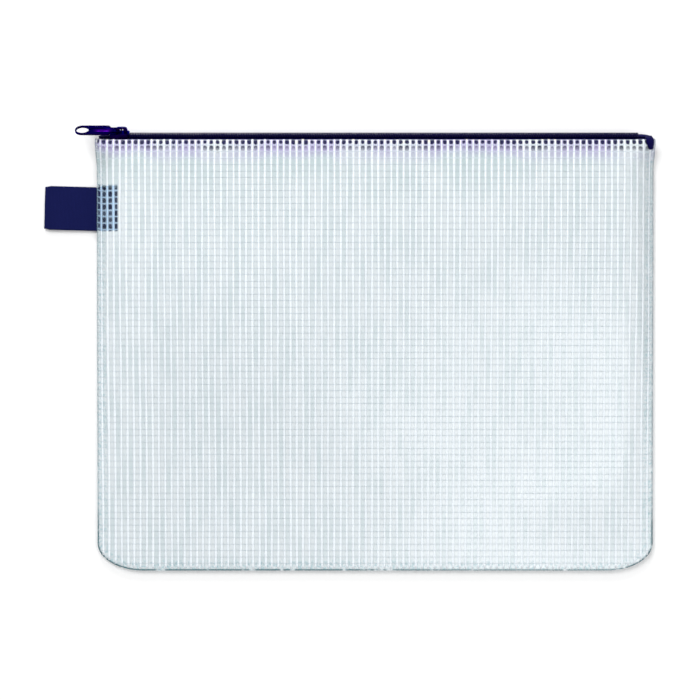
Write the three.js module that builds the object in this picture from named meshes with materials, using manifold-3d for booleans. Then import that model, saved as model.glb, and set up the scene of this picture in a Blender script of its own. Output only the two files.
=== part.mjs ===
// A zipper pouch lying on its back panel: clear film with a thread grid, closed by a coil zipper along
// its top edge, with a slider and pull at the left end and a folded ribbon loop in the left side seam.
//
// Units are millimetres. X runs along the zipper, Y from the bottom seam to the mouth, and Z from the
// back panel's underside to the front. The origin is at the centre of the back panel's underside.

import * as THREE from 'three';
import { mergeVertices } from 'three/addons/utils/BufferGeometryUtils.js';
import Module from 'manifold-3d';

const wasm = await Module();
wasm.setup();

const { degToRad, lerp, smoothstep } = THREE.MathUtils;

// Pouch body
const BODY_WIDTH = 254;
const BODY_HEIGHT = 196.6;
const CORNER_ALONG = 21;
const CORNER_UP = 12.5;
const FILM = 0.45;
const SEAT_GAP = 0.3;

// Side and bottom seam: the panels' turned-in edges, pressed together between the panels
const SEAM_STACK = 0.8;
const SEAM_WIDTH = 3.9;
const SEAM_INSET = 0.4;
const SIDE_SHOULDER = 14;
const SHOULDER_START = 12;

// Zipper band, rolled towards the front about the chain's axis
const ROLL = degToRad(27);
const AXIS_ABOVE_BODY = 1;
const TAPE = 0.5;
const TAPE_WIDTH = 9.5;
const TAPE_EDGE = 1.2;
const TAPE_END_INSET = 0.6;
const BAND_HALF = 4;
const BAND_HALF_AT_END = 1.6;
const BAND_TAPER = 6;
const FOLD_RADIUS = 0.9;
const FILM_WRAP_START = degToRad(15);

// Coil chain
const COIL_PITCH = 1.12;
const COIL_HEIGHT = 1.6;
const COIL_OUTER = 2;
const COIL_SPINE = 0.55;
const HEAD_PAST_CENTRE = 0.45;
const TOOTH_ROOT = 0.62;
const TOOTH_TIP = 0.46;
const COIL_SEAT = 0.06;
const COIL_RIGHT_MARGIN = 6.4;

// Slider
const SLIDER_LENGTH = 8.6;
const SLIDER_LEFT_MARGIN = 6.4;
const SLIDER_CLEARANCE = 0.2;
const SLIDER_PLATE = 0.55;
const SLIDER_WALL = 0.55;
const FLANGE_ABOVE_TAPE = 0.25;
const PLATE_UNDER_TAPE = 0.25;
const PLATE_EDGE_ROUND = 0.22;
const PLATE_CORNER = 0.65;
const UNDER_PLATE_INSET = 0.3;
const SPREAD = 1.25;
const SPREAD_RUN = 2.8;
const SPREAD_START = 0.9;
const FLANGE_RUN = 2.4;
const WEDGE_SETBACK = 0.5;
const WEDGE_LENGTH = 3.2;
const WEDGE_NOSE = 1.4;
const WEDGE_TIP = 0.1;

// Slider bridge and pull
const BRIDGE_WIDTH = 1.4;
const BRIDGE_THICKNESS = 0.7;
const BRIDGE_LEG = 1.75;
const BRIDGE_SQUARENESS = 0.45;
const BRIDGE_AHEAD = 0.9;
const WINDOW_HEIGHT = 1.8;
const WINDOW_HALF = 0.9;
const PIVOT_HEIGHT = 1;
const PULL_THICKNESS = 0.8;
const PULL_HALF = 3.2;
const PULL_REACH = 21.2;
const PULL_SHOULDER = 1.2;
const PULL_BAR = 0.6;
const NECK_HALF = 1.75;
const NECK_SIDE = 0.65;
const NECK_LENGTH = 5;
const PULL_WINDOW = 2.75;
const PULL_TWIST = degToRad(16);
const PULL_SHIFT = -0.15;
const HOLE_LENGTH = 5.8;
const HOLE_WIDTH = 4.8;
const HOLE_RIM = 0.55;
const DISH_LENGTH = 8;
const DISH_WIDTH = 2.8;
const DISH_DEPTH = 0.2;

// Zipper end turned down over the right corner
const END_TURN_WIDTH = 3;
const END_TURN_INSET = 1.5;
const END_TURN_DROP = 3;
const END_TURN_THICKNESS = 0.4;

// Stitching of the panels to the tapes, on the tapes' inner faces
const STITCH_WIDTH = 0.5;
const STITCH_HEIGHT = 0.3;
const STITCH_DROP = 2.5;
const STITCH_END_INSET = 9;

// Ribbon loop in the left side seam
const RIBBON_WIDTH = 20;
const RIBBON = 0.3;
const RIBBON_GAP = 0.2;
const RIBBON_OUT = 24.4;
const RIBBON_IN = 9.8;
const RIBBON_BELOW_MOUTH = 31.2;
const RIBBON_TILT = degToRad(-1.5);
const FOLD_LIFT = 0.9;
const FOLD_RUN = 9.5;

// Values worked out from the sizes above
const halfWidth = BODY_WIDTH / 2;
const bottomY = -BODY_HEIGHT / 2;
const topY = BODY_HEIGHT / 2;
const axisY = topY + AXIS_ABOVE_BODY;
const backTapeZ = FILM + SEAT_GAP + TAPE / 2;
const filmOffset = TAPE / 2 + SEAT_GAP + FILM / 2;
const seamBottomZ = FILM + SEAT_GAP;
const edgeZ = seamBottomZ + SEAM_STACK + SEAT_GAP + FILM / 2 - filmOffset;
const sinRoll = Math.sin(ROLL);
const cosRoll = Math.cos(ROLL);
const foldY = axisY - BAND_HALF * sinRoll - FOLD_RADIUS * cosRoll;

// Materials
const filmLook = { color: 0xe0ecf2, roughness: 0.25, metalness: 0, transparent: true, opacity: 0.55 };
const tapeLook = { color: 0x120a3c, roughness: 0.85, metalness: 0 };
const coilLook = { color: 0x0e0636, roughness: 0.4, metalness: 0 };
const enamelLook = { color: 0x07032c, roughness: 0.25, metalness: 0.6 };
const ribbonLook = { color: 0x161b4a, roughness: 0.8, metalness: 0 };
const threadLook = { color: 0xe8eef2, roughness: 0.7, metalness: 0 };

const pouch = new THREE.Group();
pouch.name = 'zipper_pouch';

function addPiece(parent, name, geometry, look) {
  const mesh = new THREE.Mesh(geometry, new THREE.MeshStandardMaterial(look));
  mesh.name = name;
  parent.add(mesh);
  return mesh;
}

// Half the band's width, which shrinks over the last stretch before the side edge.
function bandHalf(x) {
  const run = Math.min((halfWidth - Math.abs(x)) / BAND_TAPER, 1);
  return BAND_HALF_AT_END + (BAND_HALF - BAND_HALF_AT_END) * (1 - (1 - run) ** 2);
}

// The chain's height above the back panel's underside, with the back fold resting on the back panel.
function chainZ(half) {
  return backTapeZ + half * cosRoll + FOLD_RADIUS * (1 + sinRoll);
}

// Half the panel's width at a height, with its lower corners cut as quarter ellipses.
function panelHalf(y) {
  const up = Math.max(0, (bottomY + CORNER_UP - y) / CORNER_UP);
  return halfWidth - CORNER_ALONG * (1 - Math.sqrt(Math.max(0, 1 - up * up)));
}

// Middle of the front tape and, lower down, a parallel of the front panel.
// Stage 0 to 1 is the rolled band from the tape's edge to the fold, 1 to 2 the fold,
// and 2 to 3 the fall from the fold to the bottom seam.
function frontPoint(x, stage) {
  const half = bandHalf(x);
  const centreZ = chainZ(half);
  if (stage <= 1) {
    const across = lerp(TAPE_EDGE, half, stage);
    return new THREE.Vector3(x, axisY - across * sinRoll, centreZ + across * cosRoll);
  }
  const hubY = axisY - half * sinRoll - FOLD_RADIUS * cosRoll;
  const hubZ = centreZ + half * cosRoll - FOLD_RADIUS * sinRoll;
  if (stage <= 2) {
    const turn = lerp(ROLL, Math.PI / 2, stage - 1);
    return new THREE.Vector3(x, hubY + FOLD_RADIUS * Math.cos(turn), hubZ + FOLD_RADIUS * Math.sin(turn));
  }
  const y = lerp(hubY, bottomY, stage - 2);
  const rise = 3 - stage;
  const mouthLift = hubZ + FOLD_RADIUS - edgeZ;
  const lift = mouthLift * rise * rise * (3 - 2 * rise);
  const run = Math.min((panelHalf(y) - Math.abs(x)) / SIDE_SHOULDER, 1);
  const closing = smoothstep(hubY - y, 0, SHOULDER_START) * (1 - run) ** 2;
  return new THREE.Vector3(x, y, edgeZ + lift * (1 - closing));
}

// Middle of the back tape, by the same stages. It comes to lie flat along the back panel.
function backPoint(x, stage) {
  const half = bandHalf(x);
  const centreZ = chainZ(half);
  if (stage <= 1) {
    const across = lerp(TAPE_EDGE, half, stage);
    return new THREE.Vector3(x, axisY + across * sinRoll, centreZ - across * cosRoll);
  }
  const hubY = axisY + half * sinRoll - FOLD_RADIUS * cosRoll;
  const hubZ = centreZ - half * cosRoll - FOLD_RADIUS * sinRoll;
  if (stage <= 2) {
    const turn = lerp(ROLL, -Math.PI / 2, stage - 1);
    return new THREE.Vector3(x, hubY + FOLD_RADIUS * Math.cos(turn), hubZ + FOLD_RADIUS * Math.sin(turn));
  }
  return new THREE.Vector3(x, lerp(hubY, bottomY, stage - 2), backTapeZ);
}

// A surface's outward direction, from its slopes along x and along the stage.
function outward(surface, x, stage, side) {
  const step = 1e-4;
  const alongX = surface(x + step, stage).sub(surface(x - step, stage));
  const alongStage = surface(x, stage + step).sub(surface(x, stage - step));
  return alongStage.cross(alongX).multiplyScalar(side).normalize();
}

// A closed slab of even thickness that lies parallel to a surface, at an offset from it.
// rows lists the stages, and columnsAt gives the x places of a row.
function sheet(surface, side, rows, columnsAt, offset, thickness) {
  const positions = [];
  const faces = [];
  const across = columnsAt(rows[0]).length;
  const count = rows.length * across;
  for (const layer of [offset + thickness / 2, offset - thickness / 2]) {
    for (const stage of rows) {
      for (const x of columnsAt(stage)) {
        const point = surface(x, stage).addScaledVector(outward(surface, x, stage, side), layer);
        positions.push(point.x, point.y, point.z);
      }
    }
  }
  for (let row = 1; row < rows.length; row += 1) {
    for (let column = 1; column < across; column += 1) {
      const a = (row - 1) * across + column - 1;
      const b = a + across;
      faces.push(a, b, a + 1, b, b + 1, a + 1);
      faces.push(a + count, a + 1 + count, b + count, b + count, a + 1 + count, b + 1 + count);
    }
  }
  const lastRow = rows.length - 1;
  const columns = Array.from({ length: across - 1 }, (_, column) => column);
  const between = Array.from({ length: lastRow }, (_, row) => row);
  const rim = [
    ...columns,
    ...between.map((row) => row * across + across - 1),
    ...columns.map((column) => count - 1 - column),
    ...between.map((row) => (lastRow - row) * across),
  ];
  rim.forEach((a, place) => {
    const b = rim[(place + 1) % rim.length];
    faces.push(a, b, a + count, b, b + count, a + count);
  });
  if (side < 0) faces.reverse();
  const geometry = new THREE.BufferGeometry();
  geometry.setAttribute('position', new THREE.Float32BufferAttribute(positions, 3));
  geometry.setIndex(faces);
  return geometry;
}

function steps(from, to, count) {
  return Array.from({ length: count + 1 }, (_, step) => lerp(from, to, step / count));
}

// Places across a sheet: closer and closer together towards both side edges, even in between.
function spread(half, inset) {
  const shoulder = steps(0, 1, 6).map((share) => half - Math.max(inset, SIDE_SHOULDER * share ** 1.5));
  const middle = steps(SIDE_SHOULDER - half, half - SIDE_SHOULDER, 9).slice(1, -1);
  return [...shoulder.map((x) => -x), ...middle, ...shoulder.reverse()];
}

// The stage that lies a given distance below the fold.
function stageBelowFold(drop) {
  return 2 + drop / (foldY - bottomY);
}

function heightAtStage(stage) {
  return lerp(foldY, bottomY, Math.max(0, stage - 2));
}

// The panel outline with quarter ellipses at the lower corners, drawn in by an inset.
function panelOutline(inset, cornerSteps) {
  const right = [];
  for (const turn of steps(0, Math.PI / 2, cornerSteps)) {
    const x = halfWidth - CORNER_ALONG + (CORNER_ALONG - inset) * Math.cos(turn);
    const y = bottomY + CORNER_UP - (CORNER_UP - inset) * Math.sin(turn);
    right.push(new THREE.Vector2(x, y));
  }
  const left = right.map((point) => new THREE.Vector2(-point.x, point.y)).reverse();
  return { right, left };
}

function extrude(points, depth, holes = []) {
  const shape = new THREE.Shape(points);
  shape.holes = holes.map((hole) => new THREE.Path(hole));
  return new THREE.ExtrudeGeometry(shape, { depth, bevelEnabled: false, curveSegments: 8 });
}

function toSolid(geometry) {
  const bare = geometry.clone();
  bare.deleteAttribute('normal');
  bare.deleteAttribute('uv');
  const merged = mergeVertices(bare, 1e-4);
  return new wasm.Manifold(new wasm.Mesh({
    numProp: 3,
    vertProperties: merged.attributes.position.array,
    triVerts: new Uint32Array(merged.index.array),
  }));
}

function toGeometry(solid) {
  const mesh = solid.getMesh();
  const geometry = new THREE.BufferGeometry();
  geometry.setAttribute('position', new THREE.BufferAttribute(new Float32Array(mesh.vertProperties), 3));
  geometry.setIndex(new THREE.BufferAttribute(new Uint32Array(mesh.triVerts), 1));
  return geometry;
}

// Back panel: one flat sheet with cut lower corners.
const backOutline = panelOutline(0, 8);
const backPoints = [
  new THREE.Vector2(halfWidth, topY),
  ...backOutline.right,
  ...backOutline.left,
  new THREE.Vector2(-halfWidth, topY),
];
addPiece(pouch, 'back_panel', extrude(backPoints.reverse(), FILM), filmLook);

// Front panel: wraps the front fold and falls in a shallow curve to the bottom and side seams.
const cornerDrop = foldY - bottomY - CORNER_UP;
const frontRows = [
  ...steps(1 + FILM_WRAP_START / (Math.PI / 2 - ROLL), 2, 4),
  ...steps(0, 1, 15).slice(1, -1).map((share) => stageBelowFold(cornerDrop * share ** 2)),
  ...steps(0, Math.PI / 2, 5).map((turn) => stageBelowFold(cornerDrop + CORNER_UP * Math.sin(turn))),
];
const frontColumns = (stage) => spread(panelHalf(heightAtStage(stage)), 0);
const frontPanel = sheet(frontPoint, 1, frontRows, frontColumns, filmOffset, FILM);
addPiece(pouch, 'front_panel', frontPanel, filmLook);

// Zipper tapes: a rolled band beside the coils, a fold, and a strip that is sewn inside the panel.
const tapeColumns = () => spread(halfWidth, TAPE_END_INSET);
const bandLength = BAND_HALF - TAPE_EDGE;
const frontDrop = TAPE_WIDTH - bandLength - FOLD_RADIUS * (Math.PI / 2 - ROLL);
const backDrop = TAPE_WIDTH - bandLength - FOLD_RADIUS * (Math.PI / 2 + ROLL);
const frontTapeRows = [0, ...steps(1, 2, 5), stageBelowFold(frontDrop / 2), stageBelowFold(frontDrop)];
const backTapeRows = [0, ...steps(1, 2, 8), stageBelowFold(backDrop)];
addPiece(pouch, 'front_zip_tape', sheet(frontPoint, 1, frontTapeRows, tapeColumns, 0, TAPE), tapeLook);
addPiece(pouch, 'back_zip_tape', sheet(backPoint, -1, backTapeRows, tapeColumns, 0, TAPE), tapeLook);

// Zipper end turned down over the right corner, outside the front panel's top edge.
const turnOffset = filmOffset + FILM / 2 + SEAT_GAP + END_TURN_THICKNESS / 2;
const turnRight = halfWidth - END_TURN_INSET;
const turnColumns = () => steps(turnRight - END_TURN_WIDTH, turnRight, 3);
const turnRows = [0, ...steps(1, 2, 5), stageBelowFold(END_TURN_DROP)];
const endTurn = sheet(frontPoint, 1, turnRows, turnColumns, turnOffset, END_TURN_THICKNESS);
addPiece(pouch, 'zip_end_turn', endTurn, tapeLook);

// Stitching inside each tape.
const stitchHalf = halfWidth - STITCH_END_INSET;
const stitchColumns = () => steps(-stitchHalf, stitchHalf, 1);
const stitchOffset = -(TAPE / 2 + SEAT_GAP + STITCH_HEIGHT / 2);
const stitchRows = [stageBelowFold(STITCH_DROP), stageBelowFold(STITCH_DROP + STITCH_WIDTH)];
const frontStitch = sheet(frontPoint, 1, stitchRows, stitchColumns, stitchOffset, STITCH_HEIGHT);
const backStitch = sheet(backPoint, -1, stitchRows, stitchColumns, stitchOffset, STITCH_HEIGHT);
addPiece(pouch, 'front_zip_stitch', frontStitch, threadLook);
addPiece(pouch, 'back_zip_stitch', backStitch, threadLook);

// Ribbon loop: one strip folded double, caught in the left seam, its fold lying just off the table.
const ribbonLowZ = seamBottomZ + RIBBON / 2;
const ribbonHighZ = ribbonLowZ + RIBBON + RIBBON_GAP;
const ribbonFoldX = -halfWidth - RIBBON_OUT;
const ribbonEndX = -halfWidth + RIBBON_IN;
const foldRadius = (ribbonHighZ - ribbonLowZ + FOLD_LIFT) / 2;
const foldHubX = ribbonFoldX + RIBBON / 2 + foldRadius;
const foldHubZ = (ribbonLowZ + ribbonHighZ) / 2;
const foldStartX = foldHubX + FOLD_RUN;
const ribbonMiddle = [
  new THREE.Vector2(ribbonEndX, ribbonLowZ),
  new THREE.Vector2(-halfWidth, ribbonLowZ),
  new THREE.Vector2(foldStartX, foldHubZ - foldRadius),
  ...steps(-Math.PI / 2, -Math.PI * 1.5, 8).map((turn) => {
    return new THREE.Vector2(foldHubX + foldRadius * Math.cos(turn), foldHubZ + foldRadius * Math.sin(turn));
  }),
  new THREE.Vector2(foldStartX, foldHubZ + foldRadius),
  new THREE.Vector2(-halfWidth, ribbonHighZ),
  new THREE.Vector2(ribbonEndX, ribbonHighZ),
];

// The outline of a strip of even thickness along a line of points.
function stripOutline(points, thickness) {
  const side = (sign) => points.map((point, place) => {
    const before = points[Math.max(place - 1, 0)];
    const after = points[Math.min(place + 1, points.length - 1)];
    const along = after.clone().sub(before).normalize();
    return new THREE.Vector2(-along.y, along.x).multiplyScalar(sign * thickness / 2).add(point);
  });
  return [...side(1), ...side(-1).reverse()];
}

const ribbonTop = topY - RIBBON_BELOW_MOUTH + RIBBON_WIDTH / 2;
const ribbonGroup = new THREE.Group();
ribbonGroup.position.set(-halfWidth, topY - RIBBON_BELOW_MOUTH, 0);
ribbonGroup.rotation.z = RIBBON_TILT;
pouch.add(ribbonGroup);
const ribbonOutline = stripOutline(ribbonMiddle, RIBBON).map((point) => {
  return new THREE.Vector2(point.x + halfWidth, point.y);
});
const ribbonGeometry = extrude(ribbonOutline, RIBBON_WIDTH);
ribbonGeometry.rotateX(Math.PI / 2);
ribbonGeometry.translate(0, RIBBON_WIDTH / 2, 0);
addPiece(ribbonGroup, 'ribbon_loop', ribbonGeometry, ribbonLook);

// Side and bottom seam, open under the zipper tapes and where the ribbon passes through it.
const seamTop = foldY - frontDrop - SEAT_GAP;
const ribbonTiltRoom = RIBBON_IN * Math.abs(Math.sin(RIBBON_TILT)) + SEAT_GAP;
const ribbonRoomTop = ribbonTop + ribbonTiltRoom;
const ribbonRoomBottom = ribbonTop - RIBBON_WIDTH - ribbonTiltRoom;
const seamOuter = panelOutline(SEAM_INSET, 8);
const seamInner = panelOutline(SEAM_INSET + SEAM_WIDTH, 8);
const outerX = halfWidth - SEAM_INSET;
const innerX = outerX - SEAM_WIDTH;
const seamPoints = [
  new THREE.Vector2(innerX, seamTop),
  new THREE.Vector2(outerX, seamTop),
  ...seamOuter.right,
  ...seamOuter.left,
  new THREE.Vector2(-outerX, ribbonRoomBottom),
  new THREE.Vector2(-innerX, ribbonRoomBottom),
  ...seamInner.left.reverse(),
  ...seamInner.right.reverse(),
];
const seam = extrude(seamPoints, SEAM_STACK);
seam.translate(0, 0, seamBottomZ);
addPiece(pouch, 'side_and_bottom_seam', seam, filmLook);
const upperSeamPoints = [
  new THREE.Vector2(-outerX, ribbonRoomTop),
  new THREE.Vector2(-innerX, ribbonRoomTop),
  new THREE.Vector2(-innerX, seamTop),
  new THREE.Vector2(-outerX, seamTop),
];
const upperSeam = extrude(upperSeamPoints, SEAM_STACK);
upperSeam.translate(0, 0, seamBottomZ);
addPiece(pouch, 'upper_left_seam', upperSeam, filmLook);

// Frame of the chain: x along it, y across towards the back, z out of the pouch.
const chain = new THREE.Group();
chain.position.set(0, axisY, chainZ(BAND_HALF));
chain.rotation.x = ROLL - Math.PI / 2;
pouch.add(chain);

const sliderX = -halfWidth + SLIDER_LEFT_MARGIN + SLIDER_LENGTH / 2;
const coilLeft = sliderX - SLIDER_LENGTH / 2 + SLIDER_CLEARANCE;
const coilRight = halfWidth - COIL_RIGHT_MARGIN;
const coilFoot = TAPE / 2 + COIL_SEAT;

// How far a coil stands off its closed place, beside the slider's wedge.
function coilSpread(x) {
  return SPREAD * smoothstep(sliderX + SPREAD_START - x, 0, SPREAD_RUN);
}

// One coil as a comb: a spine along the tape with a tooth for each turn, its head past the centre.
// side is -1 for the front coil and 1 for the back one, whose teeth lie half a pitch on.
function coilGeometry(side) {
  const shift = side > 0 ? COIL_PITCH / 2 : 0;
  const turns = Math.floor((coilRight - coilLeft - COIL_PITCH) / COIL_PITCH);
  const toothSide = [];
  for (let turn = 0; turn < turns; turn += 1) {
    const x = coilLeft + COIL_PITCH / 2 + shift + turn * COIL_PITCH;
    const root = COIL_OUTER - COIL_SPINE;
    const profile = [
      [x - TOOTH_ROOT / 2, root],
      [x - TOOTH_TIP / 2, -HEAD_PAST_CENTRE],
      [x + TOOTH_TIP / 2, -HEAD_PAST_CENTRE],
      [x + TOOTH_ROOT / 2, root],
    ];
    const off = coilSpread(x);
    toothSide.push(...profile.map(([px, across]) => new THREE.Vector2(px, side * (across + off))));
  }
  const first = toothSide[0].x;
  const last = toothSide[toothSide.length - 1].x;
  const curveEnd = sliderX + SPREAD_START;
  const outer = [...steps(first, curveEnd, 8), last];
  const outerSide = outer.map((x) => new THREE.Vector2(x, side * (COIL_OUTER + coilSpread(x)))).reverse();
  const points = [...toothSide, ...outerSide];
  if (side < 0) points.reverse();
  const geometry = extrude(points, COIL_HEIGHT);
  geometry.translate(0, 0, coilFoot);
  return geometry;
}

addPiece(chain, 'front_coil', coilGeometry(-1), coilLook);
addPiece(chain, 'back_coil', coilGeometry(1), coilLook);

// Slider body: two plates joined by a wedge, with side flanges that guide the coils.
const slider = new THREE.Group();
slider.position.x = sliderX;
chain.add(slider);

const sliderHalf = SLIDER_LENGTH / 2;
const channelHalf = COIL_OUTER + SLIDER_CLEARANCE;
const channelWide = channelHalf + SPREAD;
const flangeWideX = SPREAD_START - FLANGE_RUN;
const topPlateZ = coilFoot + COIL_HEIGHT + SLIDER_CLEARANCE;
const topFaceZ = topPlateZ + SLIDER_PLATE;
const flangeZ = TAPE / 2 + FLANGE_ABOVE_TAPE;
const bottomPlateZ = -TAPE / 2 - PLATE_UNDER_TAPE - SLIDER_PLATE;

// A closed outline from its far half, by mirroring that across the chain.
function mirrored(half) {
  return [...half, ...half.map((point) => new THREE.Vector2(point.x, -point.y)).reverse()];
}

// Outline of the slider, from its narrow right end to its wide left end.
function sliderOutline(narrow, wide, length) {
  const half = [
    [length, narrow - PLATE_CORNER],
    [length - PLATE_CORNER, narrow],
    [SPREAD_START, narrow],
    [flangeWideX, wide],
    [-length + PLATE_CORNER, wide],
    [-length, wide - PLATE_CORNER],
  ];
  return mirrored(half.map(([x, y]) => new THREE.Vector2(x, y)));
}

function plate(narrow, wide, length, roundUp) {
  const round = PLATE_EDGE_ROUND;
  const shape = new THREE.Shape(sliderOutline(narrow - round, wide - round, length - round));
  const body = new THREE.ExtrudeGeometry(shape, {
    depth: SLIDER_PLATE - round,
    bevelEnabled: true,
    bevelThickness: round,
    bevelSize: round,
    bevelSegments: 2,
  });
  const cutter = new THREE.BoxGeometry(4 * length, 4 * wide, round * 2);
  const solid = toSolid(body).subtract(toSolid(cutter.translate(0, 0, -round)));
  return roundUp ? solid : solid.mirror([0, 0, 1]);
}

const outerNarrow = channelHalf + SLIDER_WALL;
const outerWide = channelWide + SLIDER_WALL;
const topPlate = plate(outerNarrow, outerWide, sliderHalf, true).translate([0, 0, topPlateZ]);
const underNarrow = outerNarrow - UNDER_PLATE_INSET;
const underWide = outerWide - UNDER_PLATE_INSET;
const underTop = bottomPlateZ + SLIDER_PLATE;
const bottomPlate = plate(underNarrow, underWide, sliderHalf, false).translate([0, 0, underTop]);

const flangeHeight = topPlateZ - flangeZ;
const flangeRing = toSolid(extrude(sliderOutline(outerNarrow, outerWide, sliderHalf), flangeHeight));
const channelSide = [
  new THREE.Vector2(SLIDER_LENGTH, channelHalf),
  new THREE.Vector2(SPREAD_START, channelHalf),
  new THREE.Vector2(flangeWideX, channelWide),
  new THREE.Vector2(-SLIDER_LENGTH, channelWide),
];
const channelOutline = mirrored(channelSide);
const channelCut = extrude(channelOutline, 3 * flangeHeight);
const channel = toSolid(channelCut).translate([0, 0, -flangeHeight]);
const flanges = flangeRing.subtract(channel).translate([0, 0, flangeZ]);

const wedgeHalf = SPREAD - HEAD_PAST_CENTRE - SLIDER_CLEARANCE;
const wedgeLeft = -sliderHalf + WEDGE_SETBACK;
const wedgeRight = wedgeLeft + WEDGE_LENGTH;
const wedgeOutline = mirrored([
  new THREE.Vector2(wedgeRight, WEDGE_TIP),
  new THREE.Vector2(wedgeRight - WEDGE_NOSE, wedgeHalf),
  new THREE.Vector2(wedgeLeft, wedgeHalf),
]);
const wedgeSink = 0.1;
const wedgeHeight = topPlateZ - underTop + 2 * wedgeSink;
const wedge = toSolid(extrude(wedgeOutline, wedgeHeight)).translate([0, 0, underTop - wedgeSink]);

// Bridge: an arch along the slider, in profile, with a window that the pull's bar turns in.
const windowTop = topFaceZ + WINDOW_HEIGHT;
const bridgeSink = 0.2;

// Half of a rounded square: the profile of the bridge and of its window.
function arch(halfLength, foot, top) {
  return steps(0, Math.PI, 12).map((turn) => {
    const along = Math.sign(Math.cos(turn)) * Math.abs(Math.cos(turn)) ** BRIDGE_SQUARENESS;
    const up = Math.sin(turn) ** BRIDGE_SQUARENESS;
    return new THREE.Vector2(halfLength * along, lerp(foot, top, up));
  });
}

const bridgeProfile = arch(WINDOW_HALF + BRIDGE_LEG, topFaceZ - bridgeSink, windowTop + BRIDGE_THICKNESS);
const windowHole = arch(WINDOW_HALF, topFaceZ, windowTop);
const bridgeGeometry = extrude(bridgeProfile, BRIDGE_WIDTH, [windowHole]);
bridgeGeometry.rotateX(Math.PI / 2);
bridgeGeometry.translate(BRIDGE_AHEAD, BRIDGE_WIDTH / 2, 0);
const sliderSolid = topPlate.add(flanges).add(bottomPlate).add(wedge).add(toSolid(bridgeGeometry));
addPiece(slider, 'slider_body', toGeometry(sliderSolid), enamelLook);

// Pull: a flat tab with a bar that sits under the bridge, a long oval hole and a shallow dish.
const pull = new THREE.Group();
pull.position.set(BRIDGE_AHEAD, PULL_SHIFT, topFaceZ + PIVOT_HEIGHT);
pull.rotation.x = PULL_TWIST;
slider.add(pull);

const barHalf = PULL_BAR / 2;
const shoulderMiddle = NECK_LENGTH + PULL_SHOULDER / 2;
const shoulderEnd = NECK_LENGTH + PULL_SHOULDER;
const tipHub = PULL_REACH - PULL_HALF;
const pullShape = new THREE.Shape();
pullShape.moveTo(barHalf, -NECK_HALF);
pullShape.lineTo(barHalf, NECK_HALF);
pullShape.lineTo(-NECK_LENGTH, NECK_HALF);
pullShape.quadraticCurveTo(-shoulderMiddle, PULL_HALF, -shoulderEnd, PULL_HALF);
pullShape.lineTo(-tipHub, PULL_HALF);
pullShape.absarc(-tipHub, 0, PULL_HALF, Math.PI / 2, Math.PI * 1.5, false);
pullShape.lineTo(-shoulderEnd, -PULL_HALF);
pullShape.quadraticCurveTo(-shoulderMiddle, -PULL_HALF, -NECK_LENGTH, -NECK_HALF);
const eyeHalf = NECK_HALF - NECK_SIDE;
const eye = new THREE.Path([
  new THREE.Vector2(-barHalf, -eyeHalf),
  new THREE.Vector2(-barHalf, eyeHalf),
  new THREE.Vector2(-barHalf - PULL_WINDOW, eyeHalf),
  new THREE.Vector2(-barHalf - PULL_WINDOW, -eyeHalf),
]);
const holeHub = PULL_REACH - HOLE_RIM - HOLE_LENGTH / 2;
const hole = new THREE.Path();
hole.absellipse(-holeHub, 0, HOLE_LENGTH / 2, HOLE_WIDTH / 2, 0, Math.PI * 2, true);
pullShape.holes = [eye, hole];
const pullBlank = new THREE.ExtrudeGeometry(pullShape, {
  depth: PULL_THICKNESS,
  bevelEnabled: false,
  curveSegments: 12,
});
pullBlank.translate(0, 0, -PULL_THICKNESS / 2);
const dishShape = new THREE.Shape();
const dishHub = (shoulderEnd + holeHub - HOLE_LENGTH / 2) / 2;
dishShape.absellipse(-dishHub, 0, DISH_LENGTH / 2, DISH_WIDTH / 2, 0, Math.PI * 2, false);
const dish = new THREE.ExtrudeGeometry(dishShape, {
  depth: 2 * DISH_DEPTH,
  bevelEnabled: false,
  curveSegments: 10,
});
dish.translate(0, 0, PULL_THICKNESS / 2 - DISH_DEPTH);
addPiece(pull, 'pull_tab', toGeometry(toSolid(pullBlank).subtract(toSolid(dish))), enamelLook);

export default pouch;
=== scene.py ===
"""Dresses the zipper pouch: clear film with its thread grid, the coil zipper, the ribbon loop and the stage.

Every surface is a function of two parameters, worked out in millimetres with numpy on whole arrays, and
written to a mesh in metres. The pouch lies on its back panel: x runs along the zipper, y from the bottom
seam to the mouth, z out of the front panel.
"""

import math

import bpy
import mathutils
import numpy as np
from bpy.props import FloatProperty, FloatVectorProperty, IntProperty, PointerProperty
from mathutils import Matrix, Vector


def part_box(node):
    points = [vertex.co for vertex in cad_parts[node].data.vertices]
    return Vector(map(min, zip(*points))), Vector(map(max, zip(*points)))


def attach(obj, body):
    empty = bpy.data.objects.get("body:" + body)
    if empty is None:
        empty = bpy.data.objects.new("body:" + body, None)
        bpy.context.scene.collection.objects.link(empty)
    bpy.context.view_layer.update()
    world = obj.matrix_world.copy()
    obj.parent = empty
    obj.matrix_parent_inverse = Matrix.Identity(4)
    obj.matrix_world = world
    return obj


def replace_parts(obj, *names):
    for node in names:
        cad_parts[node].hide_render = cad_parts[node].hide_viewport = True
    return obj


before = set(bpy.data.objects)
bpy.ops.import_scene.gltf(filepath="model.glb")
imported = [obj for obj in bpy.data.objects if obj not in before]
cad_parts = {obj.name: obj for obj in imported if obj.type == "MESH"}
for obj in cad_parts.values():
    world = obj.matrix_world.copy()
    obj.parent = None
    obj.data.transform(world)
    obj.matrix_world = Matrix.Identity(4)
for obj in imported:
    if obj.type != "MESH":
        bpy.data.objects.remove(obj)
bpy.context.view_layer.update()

bl_info = {
    "name": "Zipper Pouch",
    "version": (1, 0, 0),
    "blender": (4, 5, 0),
    "location": "3D View > Sidebar > Pouch",
    "description": "Film, thread grid, coil zipper and ribbon loop of a zipper pouch",
    "category": "Object",
}

MM = 0.001

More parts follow.
